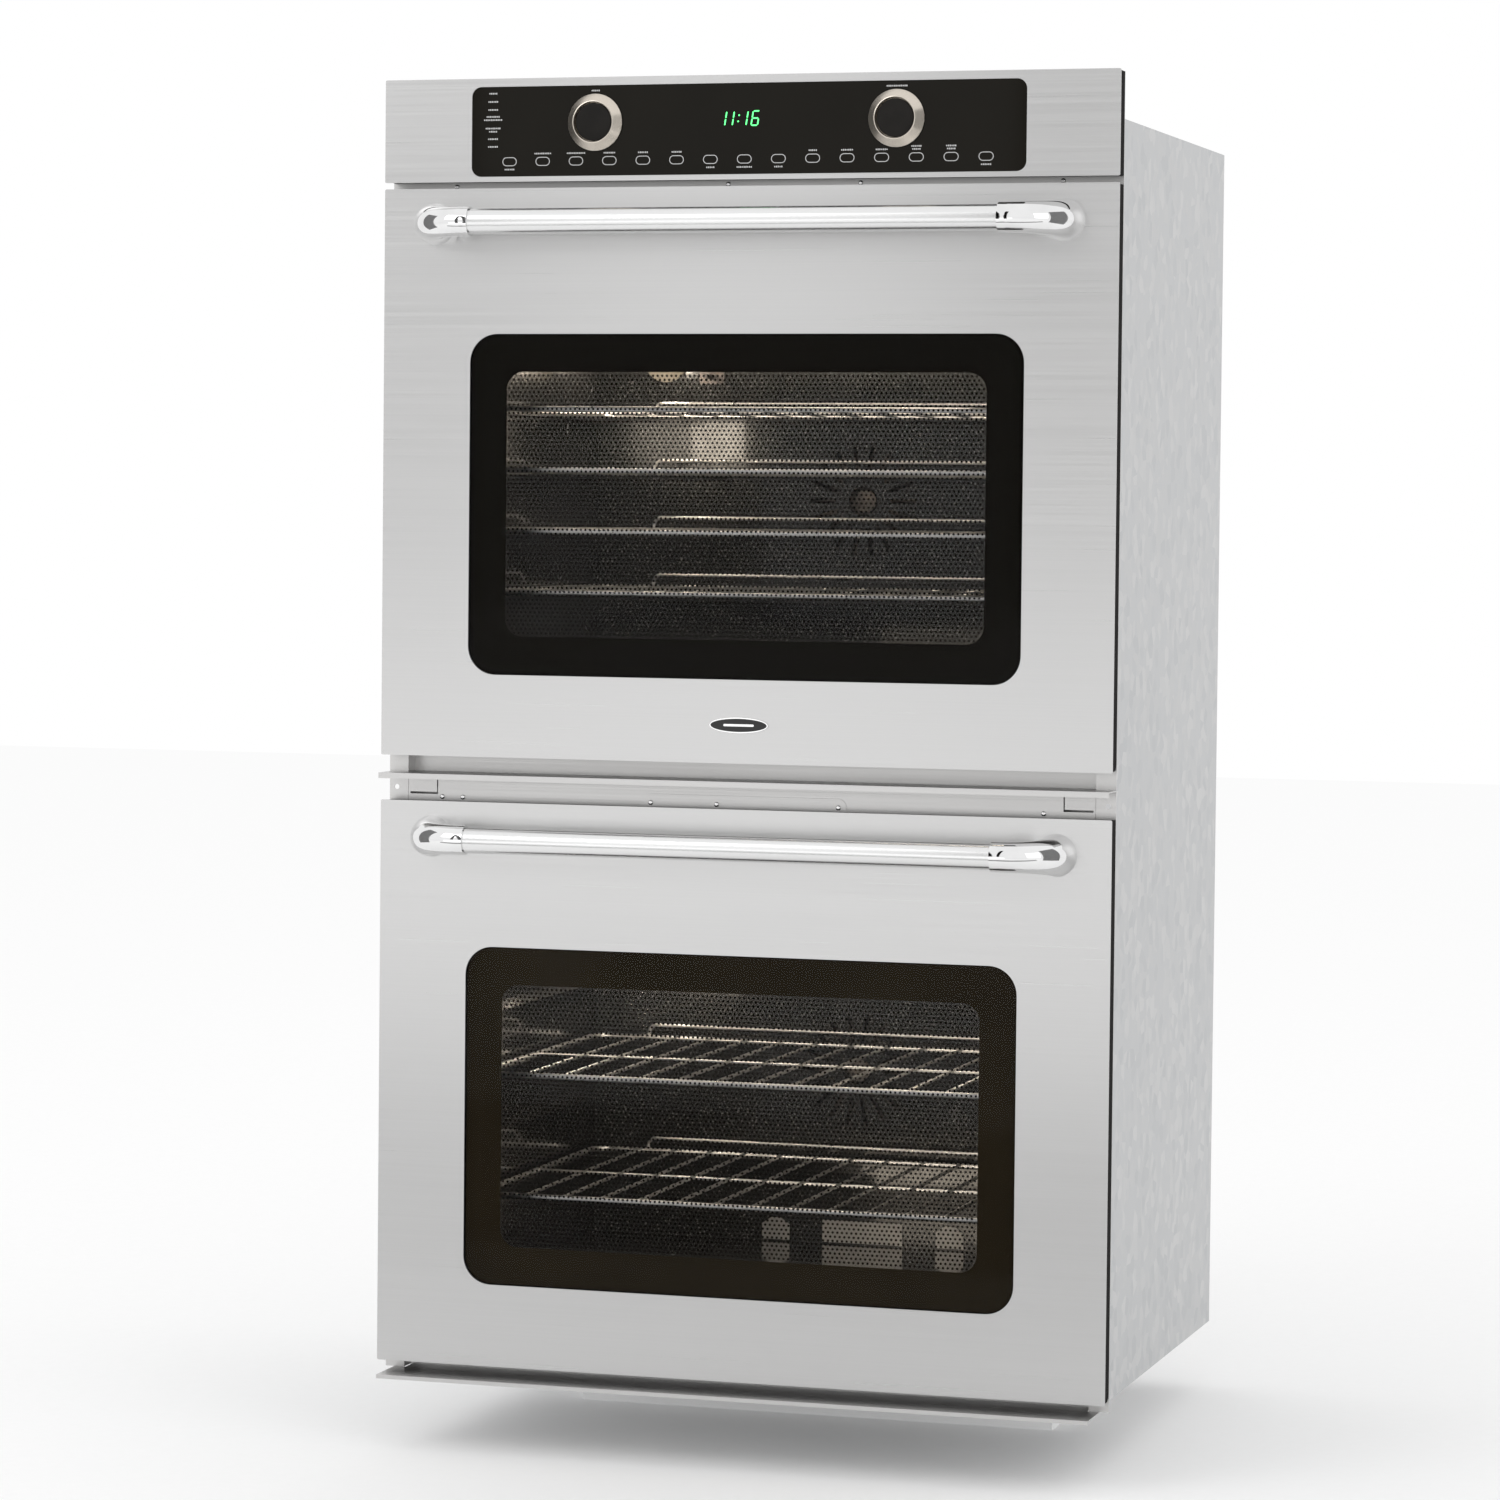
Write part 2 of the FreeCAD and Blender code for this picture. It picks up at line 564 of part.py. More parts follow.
def add_rounded(sketch, u, v, radius):
    """A rectangle between two ends along each direction, with rounded corners."""
    low_u, high_u = [size_of(end).value for end in u]
    low_v, high_v = [size_of(end).value for end in v]
    r = size_of(radius).value
    first = sketch.GeometryCount
    runs = [
        ((low_u + r, low_v), (high_u - r, low_v)),
        ((high_u, low_v + r), (high_u, high_v - r)),
        ((high_u - r, high_v), (low_u + r, high_v)),
        ((low_u, high_v - r), (low_u, low_v + r)),
    ]
    for start, end in runs:
        sketch.addGeometry(Part.LineSegment(Vector(*start, 0), Vector(*end, 0)))
    centres = [(high_u - r, low_v + r), (high_u - r, high_v - r),
               (low_u + r, high_v - r), (low_u + r, low_v + r)]
    for k, centre in enumerate(centres):
        circle = Part.Circle(Vector(*centre, 0), Vector(0, 0, 1), r)
        start = math.radians(-90 + 90 * k)
        sketch.addGeometry(Part.ArcOfCircle(circle, start, start + math.pi / 2))
    for k in range(4):
        arc = first + 4 + k
        sketch.addConstraint(Sketcher.Constraint("Tangent", first + k, 2, arc, 1))
        sketch.addConstraint(Sketcher.Constraint("Tangent", arc, 2, first + (k + 1) % 4, 1))
        kind = "Horizontal" if k % 2 == 0 else "Vertical"
        sketch.addConstraint(Sketcher.Constraint(kind, first + k))
    number = sketch.addConstraint(Sketcher.Constraint("Radius", first + 4, r))
    bind(sketch, "Constraints[%d]" % number, radius)
    for k in range(1, 4):
        sketch.addConstraint(Sketcher.Constraint("Equal", first + 4, first + 4 + k))
    fix_end(sketch, "DistanceY", first, v[0])
    fix_end(sketch, "DistanceX", first + 1, u[1])
    fix_end(sketch, "DistanceY", first + 2, v[1])
    fix_end(sketch, "DistanceX", first + 3, u[0])


def front_sketch(body, name, y):
    """A sketch that faces the front, at depth y; its own axes run along X and Z."""
    return new_sketch(body, name, "XZ_Plane", -y)


def pad_back(body, sketch, depth):
    """Adds the outline of a front sketch, going back by depth."""
    feature = body.newObject("PartDesign::Pad", sketch.Name + "_pad")
    feature.Profile = sketch
    feature.Reversed = True
    bind(feature, "Length", depth)
    return feature


def pocket_back(body, sketch, depth):
    """Cuts the outline of a front sketch, going back by depth."""
    feature = body.newObject("PartDesign::Pocket", sketch.Name + "_pocket")
    feature.Profile = sketch
    bind(feature, "Length", depth)
    return feature


def rounded_plate(name, x, z, radius, y):
    """A body with one flat plate between two depths, its corners rounded."""
    body = new_body(name)
    sketch = front_sketch(body, name + "_outline", y[0])
    add_rounded(sketch, x, z, radius)
    pad_back(body, sketch, y[1] - y[0])
    return body


def rounded_pocket(body, name, x, z, radius, y):
    """Cuts a rounded rectangle out of a body between two depths."""
    sketch = front_sketch(body, name, y[0])
    add_rounded(sketch, x, z, radius)
    return pocket_back(body, sketch, y[1] - y[0])


# ---------------------------------------------------------------------- chassis panels

def make_chassis():
    inner_half = chassis_half - gauge
    inner_back = back - gauge
    pan = cut(
        "base_pan",
        box("pan_outside", both(0, inner_half), (recess_back, inner_back), (0, pan_height)),
        box("pan_inside", both(0, inner_half - gauge),
            (recess_back + gauge, inner_back - gauge), (gauge, pan_height + gauge)))
    subpart("base_pan", pan)
    side = box("side_panel", (chassis_half - gauge, chassis_half),
               (recess_back, inner_back), (0, chassis_top))
    subpart("side_panels", pair("side_panels", side))
    rear = box("back_sheet", both(0, chassis_half), (inner_back, back), (0, chassis_top))
    vents = []
    for k in range(BACK_VENTS):
        low = upper_top - vent_drop + vent_pitch * k
        vents.append(box("back_vent_%d" % k, both(0, vent_half),
                         (inner_back - OVER, back + OVER), (low, low + vent_height)))
    subpart("back_panel", cut("back_panel", rear, *vents))
    subpart("top_cover", box("top_cover", both(0, inner_half), (recess_back, inner_back),
                             (chassis_top - gauge, chassis_top)))


def make_front_frame():
    """Side flanges in one plane, and a recessed face with the two mouths behind them."""
    recess_top = fascia_top - recess_margin
    flange = box("flange_sheet", both(0, frame_half), (flange_face, flange_back),
                 (lip_top, frame_top))
    tray = box("recess_outside", both(0, recess_half + gauge), (flange_face, recess_back),
               (lip_top, recess_top + gauge))
    hollow = box("recess_inside", both(0, recess_half), (flange_face - OVER, recess_face),
                 (lip_top - OVER, recess_top))
    through = (recess_face - OVER, recess_back + OVER)
    mouth = box("mouth", both(0, cavity_half), through, (cavity_floor, ceiling))
    control = box("control_mouth", both(0, half_width - control_side), through,
                  (fascia_low + mouth_rise, recess_top - mouth_drop))
    slot_half = arm_thick / 2 + arm_play
    slot = box("hinge_slot", both(hinge_place, slot_half), through,
               both(pivot_z, arm_radius + arm_play))
    slots = pair("hinge_slots", slot)
    latch_slot = box("latch_slot", (-latch_half - arm_play, latch_length + latch_half),
                     through, both(latch_z, latch_thick / 2 + arm_play))
    plunger_hole = rod("plunger_hole", "Y", (plunger_x, recess_face - OVER, plunger_z),
                       gauge + OVER * 2, plunger_radius + pin_play)
    repeated = group("frame_cuts", mouth, slots, latch_slot, plunger_hole)
    repeated_above = raised("frame_cuts_above", repeated, oven_pitch)
    holes = []
    for k, z in enumerate(cabinet_screw_rows):
        holes.append(rod("cabinet_hole_%d" % k, "Y",
                         (frame_half - screw_edge, flange_face - OVER, z),
                         gauge + OVER * 2, screw_hole))
    hole_group = pair("cabinet_holes", group("cabinet_holes_right", *holes))
    sheet_metal = cut("frame_sheet", fuse("frame_solid", flange, tray), hollow, control,
                      repeated, repeated_above, hole_group)
    rail = box("frame_rail", both(0, recess_half), (flange_face, flange_back),
               (upper_top - fascia_gap, fascia_low + fascia_gap))
    subpart("front_frame", fuse("front_frame", sheet_metal, rail))


def make_trims():
    """The shelf between the doors and the lip below the lower one."""
    strip_half = recess_half - rest_gap
    shelf = box("shelf_sheet", both(0, frame_half), (face - shelf_reach, flange_face),
                (shelf_top - gauge, shelf_top))
    fold = box("shelf_fold", both(0, frame_half),
               (face - shelf_reach, face - shelf_reach + gauge),
               (shelf_top - shelf_edge, shelf_top))
    strip = box("shelf_strip", both(0, strip_half), (flange_face, flange_back),
                (door_top - strip_lap, shelf_top))
    web = box("shelf_web", both(0, strip_half), (flange_face, recess_face),
              (shelf_top - gauge, shelf_top))
    slot_x = (strip_half - tab_width, strip_half - tab_neck)
    slot_z = (door_top + tab_rise, door_top + tab_rise + tab_slot)
    through = (flange_face - OVER, flange_back + OVER)
    slot = box("strip_slot", slot_x, through, slot_z)
    slit = box("strip_slit", (slot_x[0], slot_x[0] + gauge), through,
               (slot_z[0], shelf_top - shelf_edge))
    solid = cut("shelf_trim", fuse("shelf_solid", shelf, fold, strip, web),
                pair("strip_slots", fuse("strip_tab", slot, slit)))
    plate = rounded_plate("access_plate", (plate_left, plate_left + plate_width),
                          (door_top - strip_lap, door_top - strip_lap + plate_height),
                          plate_corner, (flange_face - plate_thick, flange_face))
    subpart("mid_trim", group("mid_trim", solid, plate))
    lip_half = half_width - lip_inset
    lip = box("lip_sheet", both(0, lip_half), (face - lip_reach, flange_face),
              (lip_top - gauge, lip_top))
    lip_fold = box("lip_fold", both(0, lip_half),
                   (face - lip_reach, face - lip_reach + gauge), (lip_lift, lip_top))
    lip_rear = box("lip_rear", both(0, recess_half - gauge), (flange_face, recess_back),
                   (lip_top - gauge, lip_top))
    subpart("bottom_trim", fuse("bottom_trim", lip, lip_fold, lip_rear))


# ------------------------------------------------------------------------------- doors

def make_skin(name, z, opening_x, opening_z, corner):
    """A stainless front sheet with a rounded opening for its pane."""
    body = rounded_plate(name, both(0, half_width), z, skin_corner, (face, skin_back))
    rounded_pocket(body, name + "_opening", opening_x, opening_z, corner,
                   (face, skin_back))
    return body


def make_casing(name, z, depth, opening_x, opening_z, corner, lap, rails):
    """A black casing behind a skin: rails all round and a web that holds the pane.

    rails holds the width of the side rails and the height of the end rails."""
    half = half_width - edge_inset
    rear = skin_back + depth
    low, high = z[0] + edge_inset, z[1] - edge_inset
    body = rounded_plate(name, both(0, half), (low, high), casing_corner, (skin_back, rear))
    clear_x, clear_z = both(0, half - rails[0]), (low + rails[1], high - rails[1])
    rounded_pocket(body, name + "_hollow", clear_x, clear_z, hollow_corner,
                   (web_back, rear))
    rounded_pocket(body, name + "_seat", clear_x, clear_z, hollow_corner,
                   (skin_back, pane_back))
    rounded_pocket(body, name + "_opening",
                   (opening_x[0] + lap, opening_x[1] - lap),
                   (opening_z[0] + lap, opening_z[1] - lap),
                   corner - lap / 2, (pane_back, web_back))
    return body


def make_pane(name, opening_x, opening_z, corner, y):
    """A pane that fills an opening, less the play around it."""
    return rounded_plate(name, (opening_x[0] + glass_play, opening_x[1] - glass_play),
                         (opening_z[0] + glass_play, opening_z[1] - glass_play),
                         corner - glass_play, y)


def make_handle_ends():
    """Two polished elbows that hold the tube in front of the door."""
    axis_z = door_top - handle_drop
    start = half_width - handle_side
    bend_start = start + collar_length
    rings = []
    for k in range(ELBOW_STEPS + 2):
        turn = max(0, k - 1) / ELBOW_STEPS
        angle = 90 * turn
        ring = doc.addObject("Part::Circle", "elbow_ring_%d" % k)
        ring.Placement = Placement(
            Vector(), Rotation(Vector(0, 0, 1), angle) * Rotation(Vector(0, 1, 0), 90))
        swing = math.sin(math.radians(angle))
        fall = 1 - math.cos(math.radians(angle))
        bind(ring, "Radius", collar_radius + (foot_radius - collar_radius) * turn ** 2)
        along = start if k == 0 else bend_start + handle_reach * swing
        place(ring, along, face - handle_reach + handle_reach * fall, axis_z)
        rings.append(ring)
    elbow = doc.addObject("Part::Loft", "elbow_loft")
    elbow.Sections = rings
    elbow.Solid = True
    elbow.Ruled = False
    socket = rod("elbow_socket", "X", (start - OVER, face - handle_reach, axis_z),
                 handle_socket + OVER, handle_radius + pin_play)
    return pair("handle_ends", cut("elbow", elbow, socket))


def make_handle_tube():
    axis_z = door_top - handle_drop
    half = half_width - handle_side + handle_socket
    outside = rod("tube_outside", "X", (-half, face - handle_reach, axis_z),
                  half * 2, handle_radius)
    inside = rod("tube_inside", "X", (-half - OVER, face - handle_reach, axis_z),
                 half * 2 + OVER * 2, handle_radius - handle_wall)
    return cut("handle_tube", outside, inside)


def make_casing_with_hinges(opening_x, opening_z):
    """The lower door's casing, notched for the hinge arms and bored for their pins."""
    casing = make_casing("door_casing", (door_low, door_top), casing_depth,
                         opening_x, opening_z, window_corner, glass_lap,
                         (casing_rail, casing_end))
    notch_half = arm_thick / 2 + arm_play
    notch = box("arm_notch", both(hinge_place, notch_half),
                (pivot_y - arm_radius - arm_play, casing_back + OVER),
                (door_low - OVER, pivot_z + arm_radius + arm_play))
    bore = rod("pin_bore", "X", (hinge_place - pin_length / 2, pivot_y, pivot_z),
               pin_length, pin_radius + pin_play)
    edge_half = corner_chamfer * math.sqrt(0.5)
    edge = box("edge_cutter", both(0, half_width), both(0, edge_half), both(0, edge_half))
    edge.Placement = Placement(Vector(), Rotation(Vector(1, 0, 0), 45))
    corner_z = door_low + edge_inset
    place(edge, -half_width, casing_back, corner_z - corner_chamfer)
    return cut("door_casing_cut", casing, pair("arm_notches", notch),
               pair("pin_bores", bore), edge)


def make_liner(window_x, window_z):
    """A tray that closes the back of the door, with a window and a latch slot."""
    half = half_width - liner_side
    low, high = door_low + liner_end, door_top - liner_end
    rear = liner_rear
    body = rounded_plate("door_liner", both(0, half), (low, high), liner_corner,
                         (web_back, rear))
    rounded_pocket(body, "liner_hollow", both(0, half - gauge),
                   (low + gauge, high - gauge), liner_corner - gauge,
                   (web_back, rear - gauge))
    rounded_pocket(body, "liner_window",
                   (window_x[0] + liner_lap, window_x[1] - liner_lap),
                   (window_z[0] + liner_lap, window_z[1] - liner_lap),
                   window_corner - glass_lap, (rear - gauge, rear))
    latch_slot = box("liner_slot", (-latch_half - arm_play, latch_length + latch_half),
                     (rear - gauge - OVER, rear + OVER),
                     both(latch_z, latch_thick / 2 + arm_play * 2))
    return cut("liner_cut", body, latch_slot)


def make_doors():
    opening_x = both(0, half_width - window_side)
    opening_z = (door_low + window_under, door_top - window_over)
    made = {
        "door_skin": make_skin("door_skin", (door_low, door_top), opening_x, opening_z,
                               window_corner),
        "door_casing": make_casing_with_hinges(opening_x, opening_z),
        "window_glass": make_pane("window_glass", opening_x, opening_z, window_corner,
                                  (face, pane_back)),
        "door_liner": make_liner(opening_x, opening_z),
        "inner_glass": rounded_plate(
            "inner_glass", (opening_x[0] + glass_lap, opening_x[1] - glass_lap),
            (opening_z[0] + glass_lap, opening_z[1] - glass_lap),
            window_corner - glass_lap / 2,
            (liner_rear - gauge - glass_thick, liner_rear - gauge)),
        "handle_tube": make_handle_tube(),
        "handle_ends": make_handle_ends(),
        "hinge_pins": pair("hinge_pins", rod(
            "hinge_pin", "X", (hinge_place - pin_length / 2, pivot_y, pivot_z),
            pin_length, pin_radius)),
    }
    for name, lower in made.items():
        subpart("lower_" + name, lower)
        subpart("upper_" + name, raised("upper_" + name, lower, oven_pitch))
    outline = doc.addObject("Part::Ellipse", "badge_outline")
    outline.Placement = Placement(Vector(), Rotation(Vector(1, 0, 0), 90))
    bind(outline, "MajorRadius", badge_width / 2)
    bind(outline, "MinorRadius", badge_height / 2)
    place(outline, 0, face, upper_low + badge_rise)
    badge = doc.addObject("Part::Extrusion", "badge_solid")
    badge.Base = outline
    badge.Dir = Vector(0, -1, 0)
    badge.DirMode = "Custom"
    badge.Solid = True
    bind(badge, "LengthFwd", badge_thick)
    subpart("door_badge", badge)


def make_hinge_mounts():
    """Plates behind the frame with an arm that reaches forward to each hinge pin."""
    half = arm_thick / 2
    nose = rod("arm_nose", "X", (hinge_place - half, pivot_y, pivot_z), arm_thick,
               arm_radius)
    arm = box("arm_bar", both(hinge_place, half), (pivot_y, recess_back + mount_depth),
              both(pivot_z, arm_radius))
    plate = box("mount_plate", both(hinge_place, mount_half),
                (recess_back, recess_back + gauge * 2),
                (pivot_z - arm_radius, pivot_z - arm_radius + mount_height))
    bore = rod("arm_bore", "X", (hinge_place - arm_thick, pivot_y, pivot_z),
               arm_thick * 2, pin_radius + pin_play)
    mount = pair("hinge_mount_pair", cut("hinge_mount", fuse("mount_solid", nose, arm,
                                                             plate), bore))
    above = raised("hinge_mounts_above", mount, oven_pitch)
    subpart("hinge_mounts", group("hinge_mounts", mount, above))


def make_latches():
    """Lock latches that swing forward into the liner, and door switch plungers."""
    pivot = recess_face + latch_setback
    low = latch_z - latch_thick / 2
    arm = box("latch_arm", (0, latch_length), both(pivot, latch_half),
              (low, low + latch_thick))
    eye = rod("latch_eye", "Z", (0, pivot, low), latch_thick, latch_eye)
    axle = rod("latch_axle", "Z", (0, pivot, low - axle_reach),
               latch_thick + axle_reach * 2, shaft_radius)
    lower = subpart("lower_latch", fuse("lower_latch", arm, eye, axle))
    subpart("upper_latch", raised("upper_latch", lower, oven_pitch))
    foot_top = low - rest_gap
    shelf = box("latch_shelf", (-bracket_left, bracket_right),
                (recess_back, pivot + bracket_behind),
                (foot_top - gauge, foot_top))
    ear = box("latch_ear", (-bracket_left, bracket_right),
              (recess_back, recess_back + gauge), (foot_top - bracket_ear, foot_top))
    bore = rod("latch_bore", "Z", (0, pivot, foot_top - gauge - OVER),
               gauge + OVER * 2,
               shaft_radius + pin_play)
    bracket = cut("latch_bracket", fuse("latch_bracket_solid", shelf, ear), bore)
    switch = cut(
        "switch_body",
        box("switch_block", both(plunger_x, switch_half),
            (recess_back, recess_back + switch_depth), both(plunger_z, switch_high)),
        rod("switch_bore", "Y", (plunger_x, recess_back - OVER, plunger_z),
            switch_depth, plunger_radius + pin_play))
    pieces = group("lock_brackets_below", bracket, switch)
    above = raised("lock_brackets_above", pieces, oven_pitch)
    subpart("lock_brackets", group("lock_brackets", pieces, above))
    tip = liner_rear + rest_gap
    plunger = rod("plunger_rod", "Y", (plunger_x, tip, plunger_z), plunger_length,
                  plunger_radius)
    lower = subpart("lower_plunger", group("lower_plunger", plunger))
    subpart("upper_plunger", raised("upper_plunger", lower, oven_pitch))


# ---------------------------------------------------------------------------- cavities

def half_ring(name, x, y, z, forward):
    """A half turn of heating element between two legs."""
    start = 180 if forward else 0
    return bend(name, (x, y, z), Rotation(Vector(0, 0, 1), start), element_pitch / 2,
                element_radius, 180)


def make_element(name, z):
    """Four legs joined by half turns; the outer two leave through the back."""
    near = rack_start + element_pitch / 2
    far = cavity_back - element_pitch
    legs = []
    for k in range(4):
        x = element_pitch * (k - 1.5)
        end = behind_cavity + tail_length if k in (0, 3) else far
        legs.append(rod("%s_leg_%d" % (name, k), "Y", (x, near, z), end - near,
                        element_radius))
    turns = [half_ring(name + "_turn_0", -element_pitch, near, z, True),
             half_ring(name + "_turn_1", element_pitch, near, z, True),
             half_ring(name + "_turn_2", size_of(0), far, z, False)]
    return fuse(name, *legs, *turns)


def make_cavity():
    outside = box("cavity_outside", both(0, cavity_half + cavity_wall),
                  (recess_back, behind_cavity), (cavity_floor - cavity_wall,
                                                 ceiling + cavity_wall))
    inside = box("cavity_inside", both(0, cavity_half), (recess_back - OVER, cavity_back),
                 (cavity_floor, ceiling))
    through = cavity_wall + OVER * 2
    start = cavity_back - OVER
    play = rest_gap / 2
    shaft = rod("shaft_hole", "Y", (0, start, fan_z), through, shaft_radius + play)
    lamp = rod("lamp_hole", "Y", (lamp_place, start, ceiling - lamp_drop), through,
               socket_radius + play)
    leg = rod("leg_hole", "Y", (element_pitch * 1.5, start, ceiling - element_drop),
              through, element_radius + play)
    tail = rod("tail_hole", "Y", (ring_tail_x, start, fan_z - ring_radius), through,
               element_radius + play)
    sensor = rod("sensor_hole", "Y", (sensor_x, start, ceiling - sensor_drop), through,
                 sensor_radius + play)
    cavity = cut("cavity", outside, inside, shaft, pair("lamp_holes", lamp),
                 pair("leg_holes", leg), pair("tail_holes", tail), sensor)
    subpart("lower_cavity", cavity)
    subpart("upper_cavity", raised("upper_cavity", cavity, oven_pitch))


def in_both_ovens(label, piece):
    """A sub-part with the same piece in the lower and in the upper oven."""
    subpart(label, group(label, piece, raised(label + "_above", piece, oven_pitch)))



def make_cavity_fittings():
    broil = make_element("broil_element", ceiling - element_drop)
    bake = make_element("bake_element",
                        cavity_floor - cavity_wall - element_radius - rest_gap)

    mid_depth = cavity_back - cover_depth / 2
    ring = bend("ring_turn", (0, mid_depth, fan_z), Rotation(Vector(1, 0, 0), 90),
                ring_radius, element_radius, 360)
    tail = rod("ring_tail", "Y", (ring_tail_x, mid_depth, fan_z - ring_radius),
               behind_cavity + tail_length - mid_depth, element_radius)
    convection = fuse("ring_element", ring, pair("ring_tails", tail))
    in_both_ovens("heating_elements", group("element_set", broil, bake, convection))

    lamp_start = (lamp_place, cavity_back - lens_thick, ceiling - lamp_drop)
    lens = rod("lamp_lens", "Y", lamp_start, lens_thick, lens_radius)
    socket = rod("lamp_socket", "Y", lamp_start, lens_thick + cavity_wall + socket_length,
                 socket_radius)
    in_both_ovens("oven_lamps", pair("lamp_pair", fuse("lamp", lens, socket)))

    probe = rod("probe", "Y", (sensor_x, cavity_back - sensor_length,
                               ceiling - sensor_drop),
                sensor_length + tail_length, sensor_radius)
    plate = box("probe_plate", both(sensor_x, sensor_plate),
                (cavity_back - gauge, cavity_back),
                both(ceiling - sensor_drop, sensor_plate_high))
    in_both_ovens("temperature_sensors", fuse("sensor", probe, plate))

    low = cavity_floor + bracket_rise
    centre = box("bracket_plate", both(0, bracket_half), (cavity_back - gauge, cavity_back),
                 (low, low + bracket_height))
    pointed = new_body("bracket_pointed")
    outline = front_sketch(pointed, "bracket_outline", cavity_back - gauge)
    left, right = both(pointed_place, pointed_half)
    tip_left, tip_right = both(pointed_place, pointed_tip)
    shoulder = low + pointed_shoulder
    add_polygon(outline, [(left, low), (right, low), (right, shoulder),
                          (tip_right, low + bracket_height),
                          (tip_left, low + bracket_height), (left, shoulder)])
    pad_back(pointed, outline, gauge)
    heads = []
    for k, (x, rise) in enumerate(((bracket_screw, bracket_screw_rise),
                                   (pointed_place, pointed_screw_rise))):
        head = rod("bracket_screw_%d" % k, "Y",
                   (x, cavity_back - gauge - screw_height, cavity_floor + rise),
                   screw_height, screw_head)
        heads.append(pair("bracket_screws_%d" % k, head))
    in_both_ovens("element_brackets", group("bracket_set", centre,
                                            pair("pointed_pair", pointed), *heads))


def make_rack_guides():
    first = cavity_floor + rack_first - rack_pitch
    levels = 1 + int((ceiling.value - guide_top.value - first.value) / rack_pitch.value)
    reach = (rack_start + guide_start, rack_end)
    wall = box("guide_plate", (cavity_half - gauge, cavity_half), reach,
               (cavity_floor + guide_lift,
                first + rack_pitch * (levels - 1) + guide_margin))
    ledges = []
    for k in range(levels):
        top = first + rack_pitch * k - rack_rod - rest_gap
        ledges.append(box("guide_ledge_%d" % k, (cavity_half - guide_reach, cavity_half),
                          reach, (top - gauge, top)))
    guide = fuse("rack_guide", wall, *ledges)
    in_both_ovens("rack_guides", pair("rack_guide_pair", guide))


def make_fan_cover():
    """A pan over the fan with rings of slots in its face."""
    front = cavity_back - cover_depth
    x, z = both(0, cover_half), both(fan_z, cover_high)
    body = rounded_plate("fan_cover", x, z, cover_corner, (front, cavity_back))
    rounded_pocket(body, "cover_hollow", (x[0] + gauge, x[1] - gauge),
                   (z[0] + gauge, z[1] - gauge), cover_corner - gauge,
                   (front + gauge, cavity_back))
    slots = new_body("cover_slots")
    outline = front_sketch(slots, "slot_outline", front - OVER)
    add_rounded(outline, (slot_inner, slot_outer), both(0, slot_width / 2), slot_corner)
    first = pad_back(slots, outline, gauge + OVER * 2)
    ring = slots.newObject("PartDesign::PolarPattern", "slot_ring")
    ring.Originals = [first]
    axis = [item for item in slots.Origin.OriginFeatures if item.Role == "Y_Axis"][0]
    ring.Axis = (axis, [""])
    ring.Angle = 360
    ring.Occurrences = COVER_SLOTS
    slots.Tip = ring
    place(slots, 0, 0, fan_z)
    centre_hole = rod("cover_centre", "Y", (0, front - OVER, fan_z), gauge + OVER * 2,
                      cover_centre)
    return cut("fan_cover_cut", body, slots, centre_hole)


def make_fan():
    """A convection fan: hub, back plate, blades and shaft."""
    plate_back = cavity_back - fan_gap
    body = new_body("fan")
    steps = [("fan_plate", fan_radius, plate_back - gauge, gauge),
             ("fan_hub", fan_hub, plate_back - fan_width - gauge, fan_width + gauge),
             ("fan_shaft", shaft_radius, plate_back, fan_gap + cavity_wall + shaft_reach)]
    for name, radius, y, length in steps:
        disc = front_sketch(body, name, y)
        add_circle(disc, (size_of(0), size_of(0)), radius)
        pad_back(body, disc, length)
    blade_sketch = front_sketch(body, "fan_blade", plate_back - fan_width)
    add_polygon(blade_sketch, [(blade_start, -gauge / 2), (fan_radius, -gauge / 2),
                               (fan_radius, gauge / 2), (blade_start, gauge / 2)])
    blade = pad_back(body, blade_sketch, fan_width - gauge / 2)
    ring = body.newObject("PartDesign::PolarPattern", "fan_blades")
    ring.Originals = [blade]
    axis = [item for item in body.Origin.OriginFeatures if item.Role == "Y_Axis"][0]
    ring.Axis = (axis, [""])
    ring.Angle = 360
    ring.Occurrences = FAN_BLADES
    body.Tip = ring
    place(body, 0, 0, fan_z)
    return body


def make_fan_motor():
    plate = box("motor_plate", both(0, motor_plate),
                (behind_cavity, behind_cavity + gauge), both(fan_z, motor_plate_high))
    drum = rod("motor_drum", "Y", (0, behind_cavity, fan_z), motor_length, motor_radius)
    bore = rod("motor_bore", "Y", (0, behind_cavity - OVER, fan_z),
               shaft_reach + shaft_play + OVER, shaft_radius + pin_play)
    return cut("motor", fuse("motor_solid", plate, drum), bore)


def make_ventilation():
    in_both_ovens("fan_covers", make_fan_cover())
    lower = subpart("lower_fan", group("lower_fan", make_fan()))
    subpart("upper_fan", raised("upper_fan", lower, oven_pitch))
    in_both_ovens("fan_motors", make_fan_motor())


# ------------------------------------------------------------------------------- racks

